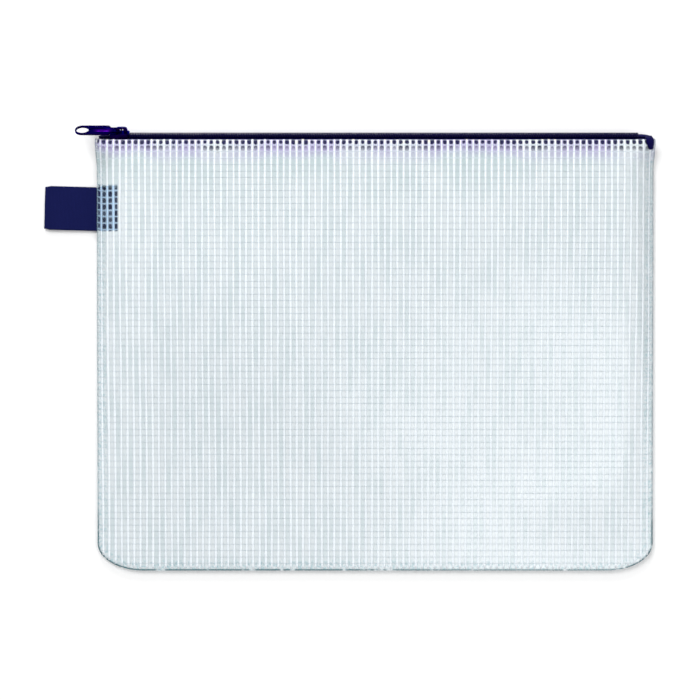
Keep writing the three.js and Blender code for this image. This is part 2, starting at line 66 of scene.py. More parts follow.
# Sizes that the solids have too, in millimetres
BODY_WIDTH = 254.0
BODY_HEIGHT = 196.6
CORNER_ALONG = 21.0
CORNER_UP = 12.5
FILM_SEAT = 0.45
SEAT_GAP = 0.3
SEAM_STACK = 0.8
SEAM_WIDTH = 3.9
SEAM_INSET = 0.4
SIDE_SHOULDER = 14.0
SHOULDER_START = 12.0
ROLL = math.radians(27)
AXIS_ABOVE_BODY = 1.0
TAPE = 0.5
TAPE_WIDTH = 9.5
TAPE_EDGE = 1.2
TAPE_END_INSET = 0.6
BAND_HALF = 4.0
BAND_HALF_AT_END = 1.6
BAND_TAPER = 6.0
FOLD_RADIUS = 0.9
FILM_WRAP_START = math.radians(15)
COIL_PITCH = 1.12
COIL_HEIGHT = 1.6
COIL_OUTER = 2.0
HEAD_PAST_CENTRE = 0.45
COIL_SEAT = 0.06
COIL_RIGHT_MARGIN = 6.4
SLIDER_LENGTH = 8.6
SLIDER_LEFT_MARGIN = 6.4
SLIDER_CLEARANCE = 0.2
SPREAD = 1.25
SPREAD_RUN = 2.8
SPREAD_START = 0.9
PULL_TWIST = math.radians(16)
END_TURN_WIDTH = 3.0
END_TURN_INSET = 1.5
END_TURN_THICKNESS = 0.4
STITCH_END_INSET = 9.0
RIBBON_WIDTH = 20.0
RIBBON = 0.3
RIBBON_GAP = 0.2
RIBBON_OUT = 24.4
RIBBON_IN = 9.8
RIBBON_BELOW_MOUTH = 31.2
RIBBON_TILT = math.radians(-1.5)
FOLD_LIFT = 0.9
FOLD_RUN = 9.5

# Sizes that only the dressed part has, in millimetres, and counts of steps
FOLD_WRAP = 1.8
SEAM_FILM = 0.5
END_TURN_DROP = 2.9
CROWN_X = -124.0
CROWN_HALF_LENGTH = 4.5
CROWN_HALF_WIDTH = 1.4
WIRE_HEAD = 0.05
WIRE_LEAN = 0.8
WIRE_SQUARENESS = 0.8
TURN_STEPS = 14
CORD_STEPS = 480
FILLER_HALVES = (0.42, 0.2)
SEWING_HALVES = (0.13, 0.1)
SEWING_ROWS = (0.62, 1.25)
STITCH_DROP = 2.75
STITCH_PITCH = 3.0
STITCH_LENGTH = 2.5
STITCH_HALVES = (0.2, 0.13)
SEAM_STITCH_INSET = 2.3
SEAM_STITCH_PITCH = 3.2
SEAM_STITCH_LENGTH = 2.6
SEAM_STITCH_HALVES = (0.16, 0.1)

# The thread grids: where the rows start, and each thread's half width and half height, in millimetres
FIRST_ROW = 1.21
THREAD_STARTS = (-1.7, -1.0)
THREAD_END = 0.6
THREAD_RISE = 0.05
THREAD_HALF_WIDTHS = (0.56, 0.72)
THREAD_FLARES = (-0.5, 0.0)
THREAD_HALF_HEIGHT = 0.15
CROSS_INSET = 0.25
CROSS_RISE = 0.14
CROSS_HALVES = (0.12, 0.09)
BACK_SHIFT = 0.8
BACK_STRETCH = 0.996
BACK_FIRST = 1.9
BACK_END = 0.4
BACK_INSET = 0.5
BACK_NARROWING = 0.8
BACK_HALF_HEIGHT = 0.12

# A cell's clear window: its half sizes as shares of the half cell, and the power of its oval
WINDOW_WIDTH = 0.62
WINDOW_HEIGHT = 0.76
WINDOW_POWER = 2.4

# Colours that no setting holds. Threads and film take up some of the ribbon's blue where they lie over it.
OVER_RIBBON = (0.3, 0.52, 0.78)
LILAC = (0.56, 0.46, 0.82)
CREAM = (0.9, 0.86, 0.66)
SEAM_SPECKLE = (0.12, 0.24, 0.26)
SEAM_CUT = (0.2, 0.3, 0.33)
STITCH_WHITE = (0.75, 0.8, 0.83)
CLEAR_TINT = (0.976, 0.992, 1, 1)

# The gloss over the film
GLOSS_SHARE = 0.005
GLOSS_ROUGHNESS = 0.16

# The stage, in metres
CAMERA_PLACE = (-0.0115, 0.0026)
FLOOR_HALF = 6.0
FLOOR_LEVEL = -0.00006
FLOOR_FADE = (0.35, 0.8)

# Each lamp's place and sides in metres, and its share of the lamp setting
LAMPS = (
    ("key", (-0.55, 0.75, 1.15), (0.7, 0.7), 1.0),
    ("fill", (0.8, -0.35, 1.2), (0.9, 0.9), 0.55),
    ("glare", (0.215, -0.263, 1.45), (0.42, 0.06), 0.2),
    ("low", (-0.13, 1.1, 0.42), (0.5, 0.32), 0.6),
)
GLARE_TURN = (0.16, 0.1, math.radians(24))

HALF_WIDTH = BODY_WIDTH / 2
BOTTOM_Y = -BODY_HEIGHT / 2
TOP_Y = BODY_HEIGHT / 2
AXIS_Y = TOP_Y + AXIS_ABOVE_BODY
BACK_TAPE_Z = FILM_SEAT + SEAT_GAP + TAPE / 2
FILM_OFFSET = TAPE / 2 + SEAT_GAP + FILM_SEAT / 2
SEAM_Z = FILM_SEAT + SEAT_GAP
EDGE_Z = SEAM_Z + SEAM_STACK + SEAT_GAP + FILM_SEAT / 2 - FILM_OFFSET
SIN = math.sin(ROLL)
COS = math.cos(ROLL)
FOLD_Y = AXIS_Y - BAND_HALF * SIN - FOLD_RADIUS * COS
FALL = FOLD_Y - BOTTOM_Y
FRONT_TURN = math.pi / 2 - ROLL
BACK_TURN = math.pi / 2 + ROLL
BAND = BAND_HALF - TAPE_EDGE
FRONT_DROP = TAPE_WIDTH - BAND - FOLD_RADIUS * FRONT_TURN
BACK_DROP = TAPE_WIDTH - BAND - FOLD_RADIUS * BACK_TURN
SLIDER_X = -HALF_WIDTH + SLIDER_LEFT_MARGIN + SLIDER_LENGTH / 2
COIL_LEFT = SLIDER_X - SLIDER_LENGTH / 2 + SLIDER_CLEARANCE
COIL_RIGHT = HALF_WIDTH - COIL_RIGHT_MARGIN
COIL_FOOT = TAPE / 2 + COIL_SEAT
COIL_MIDDLE = COIL_FOOT + COIL_HEIGHT / 2
UP = np.array([0.0, 0.0, 1.0])
OUT_OF_MOUTH = np.array([0.0, COS, SIN])


# Surfaces, as functions of x and a stage, on arrays of any one shape


def smooth(value, low, high):
    """Zero under low, one over high, and between them three times the square less twice the cube."""
    share = np.clip((value - low) / (high - low), 0, 1)
    return share * share * (3 - 2 * share)


def unit(vectors):
    """Each vector over its own length."""
    return vectors / np.linalg.norm(vectors, axis=-1, keepdims=True)


def run_length(points):
    """The length along a path up to each of its points."""
    return np.concatenate([[0], np.cumsum(np.linalg.norm(np.diff(points, axis=0), axis=-1))])


def band_half(x):
    """Half the zipper band's width, falling as a parabola over the last stretch before the side edge."""
    run = np.minimum((HALF_WIDTH - np.abs(x)) / BAND_TAPER, 1)
    return BAND_HALF_AT_END + (BAND_HALF - BAND_HALF_AT_END) * (1 - (1 - run) ** 2)


def chain_height(half):
    """Height of the chain's axis: the back fold and the rolled half band, stacked on the back tape."""
    return BACK_TAPE_Z + half * COS + FOLD_RADIUS * (1 + SIN)


def panel_half(y):
    """Half the panel's width at a height, drawn in along a quarter ellipse over each lower corner."""
    up = np.clip((BOTTOM_Y + CORNER_UP - y) / CORNER_UP, 0, 1)
    return HALF_WIDTH - CORNER_ALONG * (1 - np.sqrt(1 - up * up))


def band_and_fold(x, stage, side):
    """The middle of one half of the band: its fold's hub, its fall below the fold, and its y and z.

    Stage 0 to 1 runs across the rolled band, 1 to 2 round the fold as an arc, and 2 to 3 down to the bottom
    seam. The side is 1 for the front half and -1 for the back one, whose arc is longer.
    """
    half = band_half(x)
    centre = chain_height(half)
    across = TAPE_EDGE + (half - TAPE_EDGE) * np.minimum(stage, 1)
    hub_y = AXIS_Y - side * half * SIN - FOLD_RADIUS * COS
    hub_z = centre + side * half * COS - FOLD_RADIUS * SIN
    swing = FRONT_TURN if side > 0 else -BACK_TURN
    turn = ROLL + swing * np.clip(stage - 1, 0, 1)
    fall_y = hub_y + (BOTTOM_Y - hub_y) * np.clip(stage - 2, 0, 1)
    y = np.where(stage <= 1, AXIS_Y - side * across * SIN, hub_y + FOLD_RADIUS * np.cos(turn))
    z = np.where(stage <= 1, centre + side * across * COS, hub_z + FOLD_RADIUS * np.sin(turn))
    return hub_y, hub_z, fall_y, np.where(stage > 2, fall_y, y), z


def front_middle(x, stage):
    """Middle of the front tape and, below it, a parallel of the front panel.

    Below the fold the height falls as a smooth step, and is pressed flat towards the side edges.
    """
    hub_y, hub_z, fall_y, y, z = band_and_fold(x, stage, 1)
    rise = np.clip(3 - stage, 0, 1)
    lift = (hub_z + FOLD_RADIUS - EDGE_Z) * rise * rise * (3 - 2 * rise)
    run = np.clip((panel_half(fall_y) - np.abs(x)) / SIDE_SHOULDER, 0, 1)
    closing = smooth(hub_y - fall_y, 0, SHOULDER_START) * (1 - run) ** 2
    z = np.where(stage > 2, EDGE_Z + lift * (1 - closing), z)
    return np.stack([x + 0 * y, y, z], -1)


def back_middle(x, stage):
    """Middle of the back tape: the band, the longer arc, then flat along the back panel."""
    *_, y, z = band_and_fold(x, stage, -1)
    z = np.where(stage > 2, BACK_TAPE_Z, z)
    return np.stack([x + 0 * y, y, z], -1)


def raised(surface, side, x, stage, height):
    """Points at a height over a surface, along the cross product of its slopes, and those unit normals."""
    step = 1e-3
    along_x = surface(x + step, stage) - surface(x - step, stage)
    along_stage = surface(x, stage + step) - surface(x, stage - step)
    normals = unit(np.cross(along_stage, along_x)) * side
    return surface(x, stage) + (height + 0 * x)[..., None] * normals, normals


def stage_below(drop):
    """The stage at a distance below the fold, and above it along the fold's arc."""
    arc = FOLD_RADIUS + FILM_OFFSET
    return np.where(drop > 0, 2 + drop / FALL, 2 + drop / (arc * FRONT_TURN))


def edge_distance(x, y):
    """Distance to the panel's side or bottom edge, with the implicit quarter ellipse at each lower corner."""
    along = np.clip((np.abs(x) - HALF_WIDTH + CORNER_ALONG) / CORNER_ALONG, 0, None)
    up = np.clip((BOTTOM_Y + CORNER_UP - y) / CORNER_UP, 0, None)
    reach = np.sqrt(along**2 + up**2) + 1e-6
    slope = np.sqrt((along / CORNER_ALONG) ** 2 + (up / CORNER_UP) ** 2) / reach + 1e-6
    corner = np.where((along > 0) & (up > 0), (1 - reach) / slope, 1e3)
    return np.minimum(np.minimum(HALF_WIDTH - np.abs(x), y - BOTTOM_Y), corner)


def film_rise(x, drop):
    """Rise of the front film out of its plain shape, in millimetres.

    A sum of sines across the mouth makes the gathers, which die out downwards, and two long slanted sines
    make the slack of the whole sheet, both held down to nothing at the edges.
    """
    gathers = 0.5 * np.sin(x / 2.9 + 0.6) + np.sin(x / 5.3 + 1.9 * np.sin(x / 31)) + np.sin(x / 9.1 + 0.8)
    mouth = 0.11 * gathers * np.exp(-drop / 34) * smooth(drop, 0, 9)
    slack = 0.45 * np.sin((x * 0.72 + drop * 0.95) / 33 + 0.4) + 0.3 * np.sin((x * 0.6 - drop) / 21 + 1)
    sides = smooth(HALF_WIDTH - np.abs(x), 0, 22)
    return mouth + slack * sides * smooth(drop, 6, 60) * smooth(FALL - drop, 4, 50)


# Meshes from whole arrays


def grid_faces(rows, columns, wrap=False):
    """Quads of a grid whose normal is the row direction crossed with the column direction."""
    row, column = np.meshgrid(np.arange(rows - 1), np.arange(columns - (not wrap)), indexing="ij")
    near = row * columns + column
    far = row * columns + (column + 1) % columns
    return np.stack([near, near + columns, far + columns, far], -1).reshape(-1, 4)


def tubes(paths, ups, half_wide, half_high, sides):
    """Closed tubes round many paths at once: an ellipse carried along each path.

    The ellipse's high axis is the given up direction made square to the path, and its wide axis the cross
    product of the path's direction with it. Each end is closed with quads.
    """
    strands, rows = paths.shape[:2]
    tangent = unit(np.gradient(paths, axis=1))
    wide = unit(np.cross(tangent, ups))
    high = np.cross(wide, tangent)
    turn = 2 * np.pi * (np.arange(sides) + 0.5) / sides
    wide_part = np.asarray(half_wide + 0 * paths[..., :1])[..., None, :] * np.cos(turn)[:, None]
    high_part = np.asarray(half_high + 0 * paths[..., :1])[..., None, :] * np.sin(turn)[:, None]
    points = paths[:, :, None] + wide_part * wide[:, :, None] + high_part * high[:, :, None]
    body = grid_faces(rows, sides, wrap=True)
    corner = np.arange(1, sides - 1, 2)
    cap = np.stack([0 * corner, corner, corner + 1, corner + 2], -1)
    one = np.concatenate([body, cap, cap[:, ::-1] + (rows - 1) * sides])
    faces = one[None] + (np.arange(strands) * rows * sides)[:, None, None]
    return points.reshape(-1, 3), faces.reshape(-1, 4)


def new_piece(name, points, faces, finish, uv):
    """A mesh object at the origin, from points in millimetres and quads, riding on the pouch.

    It carries two surface coordinates for each point.
    """
    mesh = bpy.data.meshes.new(name)
    mesh.vertices.add(len(points))
    mesh.vertices.foreach_set("co", (points * MM).astype(np.float32).ravel())
    mesh.loops.add(faces.size)
    mesh.loops.foreach_set("vertex_index", faces.astype(np.int32).ravel())
    mesh.polygons.add(len(faces))
    mesh.polygons.foreach_set("loop_start", np.arange(len(faces), dtype=np.int32) * 4)
    mesh.polygons.foreach_set("use_smooth", np.full(len(faces), True))
    mesh.update(calc_edges=True)
    layer = mesh.uv_layers.new(name="Surface")
    layer.uv.foreach_set("vector", uv.reshape(-1, 2)[faces.ravel()].astype(np.float32).ravel())
    mesh.materials.append(finish)
    piece = bpy.data.objects.new(name, mesh)
    bpy.context.scene.collection.objects.link(piece)
    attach(piece, "pouch")
    return piece


def new_sheet(name, points, finish, uv, flipped=False):
    """A piece from a grid of points, with its faces turned over where it is flipped."""
    faces = grid_faces(*points.shape[:2])
    return new_piece(name, points.reshape(-1, 3), faces[:, ::-1] if flipped else faces, finish, uv)


def new_strands(name, paths, ups, halves, length, finish, sides=6):
    """A piece of tubes round many paths, with millimetres along them and turns round them as coordinates."""
    points, faces = tubes(paths, ups, *halves, sides)
    along = np.linspace(0, length, paths.shape[1])[:, None] + np.zeros((*paths.shape[:2], sides))
    around = np.arange(sides) / sides + 0 * along
    return new_piece(name, points, faces, finish, np.stack([along, around], -1))


def thicken(piece, thickness, rim=None):
    """Gives an open sheet its thickness, half to each side, with its own finish on the cut edge."""
    solid = piece.modifiers.new("Thickness", "SOLIDIFY")
    solid.thickness = thickness * MM
    solid.offset = 0
    if rim:
        piece.data.materials.append(rim)
        solid.material_offset_rim = 1
    return piece


def chain_points(x, across, out):
    """World points from the chain's own frame: along it, across it towards the back, and out of the mouth."""
    return np.stack(
        [
            x + 0 * across,
            AXIS_Y + across * SIN + out * COS + 0 * x,
            chain_height(BAND_HALF) - across * COS + out * SIN + 0 * x,
        ],
        -1,
    )


# Finishes


class Socket:
    """An output of a shader node. Arithmetic with it adds Math nodes."""

    def __init__(self, tree, output):
        self.tree = tree
        self.output = output

    def math(self, operation, first, second=None):
        """One Math node on one or two numbers or sockets."""
        node = self.tree.nodes.new("ShaderNodeMath")
        node.operation = operation
        for place, value in enumerate((first, second)):
            if isinstance(value, Socket):
                self.tree.links.new(value.output, node.inputs[place])
            elif value is not None:
                node.inputs[place].default_value = value
        return Socket(self.tree, node.outputs[0])

    def __add__(self, other):
        return self.math("ADD", self, other)

    __radd__ = __add__

    def __sub__(self, other):
        return self.math("SUBTRACT", self, other)

    def __rsub__(self, other):
        return self.math("SUBTRACT", other, self)

    def __mul__(self, other):
        return self.math("MULTIPLY", self, other)

    __rmul__ = __mul__

    def __truediv__(self, other):
        return self.math("DIVIDE", self, other)

    def __pow__(self, other):
        return self.math("POWER", self, other)

    def __abs__(self):
        return self.math("ABSOLUTE", self)

    def sine(self):
        return self.math("SINE", self)

    def fraction(self):
        return self.math("FRACT", self)

    def whole(self):
        return self.math("FLOOR", self)


class Finish:
    """A procedural material round one Principled shader, and the method that adds any other node."""

    def __init__(self, name, color, roughness, **constants):
        self.material = bpy.data.materials.new(name)
        self.material.use_nodes = True
        self.tree = self.material.node_tree
        self.shader = self.tree.nodes["Principled BSDF"]
        self.shader.inputs["Base Color"].default_value = (*color, 1)
        self.shader.inputs["Roughness"].default_value = roughness
        for socket, value in constants.items():
            self.shader.inputs[socket.replace("_", " ")].default_value = value

    def node(self, kind, settings=None, inputs=None, output=0):
        """Adds a node by its type: settings first, then each input's value or link. Returns one output."""
        node = self.tree.nodes.new(kind)
        for name, value in (settings or {}).items():
            if name == "stops":
                for place, (position, color) in enumerate(value):
                    stops = node.color_ramp.elements
                    stop = stops[place] if place < 2 else stops.new(position)
                    stop.position = position
                    stop.color = color
            else:
                setattr(node, name, value)
        for name, value in (inputs or {}).items():
            if isinstance(value, Socket):
                self.tree.links.new(value.output, node.inputs[name])
            else:
                node.inputs[name].default_value = value
        return Socket(self.tree, node.outputs[output])

    def place(self):
        """The piece's own coordinates, in metres."""
        return self.node("ShaderNodeTexCoord", output="Object")

    def parts(self, vector):
        """The x, y and z of a vector."""
        x = self.node("ShaderNodeSeparateXYZ", inputs={0: vector})
        return [Socket(self.tree, output) for output in x.output.node.outputs]

    def surface(self):
        """The two surface coordinates that the piece's mesh carries."""
        return self.parts(self.node("ShaderNodeUVMap", {"uv_map": "Surface"}))[:2]

    def noise(self, scale, detail=2.0, vector=None, roughness=0.5):
        """Noise from 0 to 1, in the piece's own coordinates unless others are given."""
        inputs = {"Vector": vector or self.place(), "Scale": scale, "Detail": detail, "Roughness": roughness}
        return self.node("ShaderNodeTexNoise", inputs=inputs)

    def between(self, value, low, high):
        """A smooth step from 0 to 1 as a value goes from low to high."""
        settings = {"interpolation_type": "SMOOTHSTEP"}
        return self.node("ShaderNodeMapRange", settings, {0: value, 1: low, 2: high})

    def blend(self, factor, first, second):
        """A colour between two colours."""
        first, second = (c if isinstance(c, Socket) else (*c, 1) for c in (first, second))
        return self.node("ShaderNodeMix", {"data_type": "RGBA"}, {0: factor, 6: first, 7: second}, output=2)

    def bump(self, height, distance, strength=1.0):
        """A height in units of a distance in metres, made a normal."""
        inputs = {"Height": height, "Distance": distance, "Strength": strength}
        return self.node("ShaderNodeBump", inputs=inputs)

    def mix(self, factor, first, second):
        """A shader between two shaders."""
        return self.node("ShaderNodeMixShader", inputs={0: factor, 1: first, 2: second})

    def show(self, shader):
        """Makes a shader the material's surface, and returns the material."""
        self.tree.links.new(shader.output, self.tree.nodes["Material Output"].inputs[0])
        return self.material

    def see_through(self, opacity):
        """Mixes the surface with clear film by its opacity, and lays a gloss over both.

        The sheet has two faces, so each one lets through the square root of what the sheet does.
        """
        milky = Socket(self.tree, self.shader.outputs[0])
        clear = self.node("ShaderNodeBsdfTransparent", inputs={"Color": CLEAR_TINT})
        gloss = self.node("ShaderNodeBsdfAnisotropic", inputs={"Roughness": GLOSS_ROUGHNESS})
        return self.show(self.mix(GLOSS_SHARE, self.mix(1 - (1 - opacity) ** 0.5, clear, milky), gloss))

    def feed(self, name, value):
        """Links a value to one of the shader's inputs."""
        self.tree.links.new(value.output, self.shader.inputs[name])
        return self


def ribbon_cells(settings):
    """Where the ribbon lies under the film, in cells: its inner end, its upper side and its lower side."""
    inner = (RIBBON_IN - HALF_WIDTH) * MM / settings.column_pitch + (settings.columns - 1) / 2
    middle = FOLD_Y - TOP_Y + RIBBON_BELOW_MOUTH - FIRST_ROW
    sides = ((middle + side * RIBBON_WIDTH / 2) * MM / settings.row_pitch for side in (-1, 1))
    return inner, *sides


def film_finish(settings):
    """Clear film: milky round each thread, clear in the middle of each cell, with a dark turned edge.

    Each cell's window is an oval: the two cell coordinates over its half sizes, each to the window's power,
    summed and made ragged with noise. A window hazes over where the film stands off what lies behind it, and
    is clear where the film touches: on the tape at the mouth and on the ribbon.
    """
    film = Finish("clear_film", settings.film_color, 0.2, IOR=1.45, Specular_IOR_Level=0.5)
    across, down = film.surface()
    column = abs(across.fraction() * 2 - 1)
    row = abs(down.fraction() * 2 - 1)
    oval = (column / WINDOW_WIDTH) ** WINDOW_POWER + (row / WINDOW_HEIGHT) ** WINDOW_POWER
    cell = film.node("ShaderNodeCombineXYZ", inputs={0: across.whole(), 1: down.whole()})
    chance = film.node("ShaderNodeTexWhiteNoise", {"noise_dimensions": "2D"}, {"Vector": cell})
    uneven = film.noise(700, 3)
    cloud = film.noise(34, 3)
    reach = oval ** (1 / WINDOW_POWER) + (uneven - 0.5) * 0.8 + (chance - 0.5) * 0.25
    window = 1 - film.between(reach, 0.84, 1.14)
    edge = film.node("ShaderNodeAttribute", {"attribute_name": "edge"}, output="Fac")

    # Where the film touches, and how much of the light it stops there and elsewhere
    mouth_touch = 1 - film.between(down + (chance - 0.5) * 0.4 + (cloud - 0.5) * 1.4, -0.25, 1.15)
    inner, upper, lower = ribbon_cells(settings)
    over_ribbon = (1 - film.between(across, inner, inner + 0.3)) * film.between(down, upper - 0.3, upper)
    over_ribbon = over_ribbon * (1 - film.between(down, lower, lower + 0.3))
    touch = mouth_touch + over_ribbon * (1 - chance * 0.1)
    clear = settings.haze * (1 - touch) + touch * settings.cell_opacity
    margin = settings.margin_opacity + (1 - film.between(down, 1.5, 3.5)) * 0.15 - over_ribbon * 0.2
    opacity = window * clear + (1 - window) * margin
    lowest = film.between(down, 55, 60) * 0.55 + 0.4
    rim = (1 - film.between(edge, 0.35, 1.0)) * film.between(film.noise(300, 2), 0.3, 0.45) * lowest
    opacity = opacity + (1 - opacity) * rim * 0.8

    # The tints: streaks, pale margins, the mouth, specks beside the edge, lilac, the ribbon and the rim
    place = film.node("ShaderNodeCombineXYZ", inputs={0: across.whole() * 7.3, 1: down * 0.11})
    streak = film.between(film.noise(1, 3, place), 0.4, 0.65)
    tint = film.blend(streak * 0.4, settings.film_color, settings.mouth_color)
    beside = film.between(column + (uneven - 0.5) * 0.3, 0.25, 0.85)
    tint = film.blend(beside, tint, settings.thread_color)
    mouth = (1 - film.between(down + (cloud - 0.5) * 14, 1, 12)) * film.between(cloud, 0.3, 0.7)
    tint = film.blend(mouth * (1 - beside * 0.7), tint, settings.mouth_color)
    band = (1 - film.between(edge, 2.5, 6.5)) * film.between(film.noise(1100, 2), 0.5, 0.62)
    tint = film.blend(band * 0.55, tint, settings.band_color)
    lilac = (1 - film.between(down + (cloud - 0.5) * 6, 0.8, 3.2)) * film.between(cloud, 0.35, 0.6)
    tint = film.blend(lilac * 0.75, tint, LILAC)
    tint = film.blend(over_ribbon * 0.6, tint, OVER_RIBBON)
    film.feed("Base Color", film.blend(rim, tint, settings.edge_color))
    film.feed("Roughness", 0.14 + uneven * 0.12)
    ripple = film.noise(210, 3) * 0.6 + window * 0.4
    return film.feed("Normal", film.bump(ripple, 0.00008, 0.5)).see_through(opacity)


def film_rim_finish(settings):
    """The cut edge of the film, which gathers its tint."""
    rim = Finish("film_rim", settings.edge_color, 0.35)
    grain = rim.noise(700, 3)
    rim.feed("Base Color", rim.blend(grain, settings.edge_color, settings.film_color))
    return rim.feed("Roughness", 0.25 + grain * 0.3).material


def seam_finish(settings):
    """Turned-in film edges: cloudy teal, speckled along the fold and with a dark cut line inside."""
    seam = Finish("seam_film", settings.film_color, 0.35)
    _, across = seam.surface()
    speckle = seam.noise(620, 3)
    spots = seam.between(speckle, 0.5, 0.6) * (1 - seam.between(across, 0.25, 0.5))
    cut = seam.between(across, 0.78, 0.9) * seam.between(seam.noise(120, 2), 0.3, 0.5)
    tone = seam.blend(spots * 0.8, settings.film_color, SEAM_SPECKLE)
    seam.feed("Base Color", seam.blend(cut * 0.6, tone, SEAM_CUT))
    seam.feed("Normal", seam.bump(speckle, 0.0002, 0.5))
    return seam.see_through(0.12 + spots * 0.5 + cut * 0.4)


def strand_finish(name, color, cream_ends=False):
    """A laid thread: fine filaments twisted along it, laminated in the film's gloss."""
    strand = Finish(name, color, 0.3, IOR=1.45)
    along, around = strand.surface()
    twist = (along * 9 + around * math.tau).sine() * 0.5 + 0.5
    fleck = strand.noise(1200, 2)
    tone = strand.blend(twist * 0.5 + fleck * 0.3, color, tuple(c * 0.9 for c in color))
    if cream_ends:
        cream = (1 - strand.between(along, 2, 7)) * strand.between(strand.noise(160), 0.42, 0.6)
        tone = strand.blend(cream, tone, CREAM)
    x, y, _ = strand.parts(strand.place())
    aside = abs(y - (TOP_Y - RIBBON_BELOW_MOUTH) * MM)
    beside = strand.between(aside, RIBBON_WIDTH / 2 * MM, (RIBBON_WIDTH / 2 + 0.4) * MM)
    beyond = strand.between(x, (RIBBON_IN - HALF_WIDTH) * MM, (RIBBON_IN - HALF_WIDTH + 0.6) * MM)
    strand.feed("Base Color", strand.blend((1 - beside) * (1 - beyond) * 0.7, tone, OVER_RIBBON))
    strand.feed("Roughness", 0.2 + fleck * 0.2)
    return strand.feed("Normal", strand.bump(twist, 0.00003)).material


def weave_finish(name, color, light, rib, pick, roughness=0.75):
    """Woven tape: warp ribs crossed by picks, from sines of the two surface coordinates in millimetres."""
    cloth = Finish(name, color, roughness, Specular_IOR_Level=0.12, Specular_Tint=(0.2, 0.2, 1, 1))
    along, across = cloth.surface()
    warp = (across * (math.tau / rib)).sine()
    weft = (along * (math.tau / pick) + warp * 1.2).sine()
    yarn = warp * 0.5 + weft * 0.35 + cloth.noise(1500, 2) * 0.5
    slub = cloth.noise(60, 3)
    tone = cloth.between(yarn * 0.5 + slub, 0.35, 1.15)
    cloth.feed("Base Color", cloth.blend(tone, color, light))
    cloth.feed("Roughness", roughness + (slub - 0.5) * 0.2)
    return cloth.feed("Normal", cloth.bump(yarn, 0.00006)).material


def coil_finish(settings):
    """Drawn nylon: dark, softly glossy, with fine marks along the wire."""
    color = settings.coil_color
    coil = Finish("coil_nylon", color, 0.5, Specular_IOR_Level=0.06, Specular_Tint=(0.12, 0.08, 1, 1))
    _, around = coil.surface()
    marks = coil.noise(1400, 3)
    coil.feed("Base Color", coil.blend(marks, color, tuple(c * 1.8 + 0.001 for c in color)))
    coil.feed("Roughness", 0.42 + marks * 0.25)
    return coil.feed("Normal", coil.bump((around * 25).sine() * 0.3 + marks, 0.00002)).material


def enamel_finish(name, settings, crown=None):
    """Tinted enamel on metal: near black, with a coloured gloss, faint orange peel and rubbed edges.

    Given a crown, the middle of the face swells: a parabola across it, faded out along it, and the enamel
    there is brightened towards the crown colour as a painted highlight. A crown is its centre and the unit
    direction across it, in metres.
    """
    color = settings.enamel_color
    enamel = Finish(name, color, 0.24, Metallic=1.0, Specular_Tint=(0.25, 0.05, 1, 1))
    peel = enamel.noise(420, 2)
    rub = enamel.noise(1900, 4)
    tone = enamel.blend(enamel.between(rub, 0.5, 0.8), color, tuple(c * 1.9 + 0.001 for c in color))
    height = peel * 0.00003 + rub * 0.000006
    if crown:
        centre, direction = crown
        x, y, z = enamel.parts(enamel.place())
        across = (y - centre[1]) * direction[1] + (z - centre[2]) * direction[2]
        across = across / (CROWN_HALF_WIDTH * MM)
        along = (x - centre[0]) / (CROWN_HALF_LENGTH * MM)
        inside = (1 - enamel.between(abs(across), 0.9, 1.1)) * (1 - enamel.between(abs(along), 0.4, 1.1))
        height = height + inside * (1 - across * across) * settings.crown
        # Brightening the enamel over the swell is a painted highlight, on top of the real one that the bump
        # catches from the low lamp.
        tone = enamel.blend(inside * 0.9, tone, settings.crown_highlight_color)
    enamel.feed("Base Color", tone)
    enamel.feed("Roughness", 0.2 + peel * 0.12 + rub * 0.06)
    return enamel.feed("Normal", enamel.bump(height, 1.0)).material


def thread_finish(name, color):
    """Sewing thread: two plies twisted, matt."""
    thread = Finish(name, color, 0.7, Specular_IOR_Level=0.2)
    along, around = thread.surface()
    ply = (along * 7 + around * (2 * math.tau)).sine() * 0.5 + 0.5
    thread.feed("Base Color", thread.blend(ply, tuple(c * 0.7 for c in color), color))
    thread.feed("Roughness", 0.6 + thread.noise(900) * 0.2)
    return thread.feed("Normal", thread.bump(ply, 0.00004)).material


# Settings


def color_setting(name, description, default):
    """A colour that a user may change."""
    return FloatVectorProperty(name=name, description=description, subtype="COLOR", size=3, default=default)


def length_setting(name, description, default):
    """A length that a user may change, in metres."""
    return FloatProperty(
        name=name, description=description, subtype="DISTANCE", unit="LENGTH", default=default
    )


def share_setting(name, description, default):
    """A share from 0 to 1 that a user may change."""
    return FloatProperty(name=name, description=description, subtype="FACTOR", default=default, min=0, max=1)


class PouchFilmSettings(bpy.types.PropertyGroup):
    """Film and thread grids."""

    film_color: color_setting("Film", "Colour of the film", (0.92, 0.975, 1.0))
    mouth_color: color_setting("Mouth", "Colour of the film under the zipper", (0.64, 0.78, 0.8))
    edge_color: color_setting("Edge", "Colour along the film's edge", (0.05, 0.15, 0.18))
    band_color: color_setting("Band", "Colour of the specks beside the edge", (0.29, 0.56, 0.63))
    thread_color: color_setting("Thread", "Colour of the upright threads", (0.86, 0.92, 0.965))
    cross_color: color_setting("Cross thread", "Colour of the cross threads", (0.5, 0.58, 0.63))
    cell_opacity: share_setting("Cell opacity", "How much a cell hides where it touches", 0.03)
    haze: share_setting("Haze", "How much a cell hides where it stands off", 0.82)
    margin_opacity: share_setting("Margin opacity", "How much the film beside a thread hides", 0.78)
    thickness: length_setting("Thickness", "Thickness of the film", 0.0003)
    column_pitch: length_setting("Column pitch", "Distance between upright threads", 0.00286)
    row_pitch: length_setting("Row pitch", "Distance between cross threads", 0.00293)
    columns: IntProperty(name="Columns", description="Number of upright threads", default=88, min=2)
    rows: IntProperty(name="Rows", description="Number of cross threads", default=66, min=2)


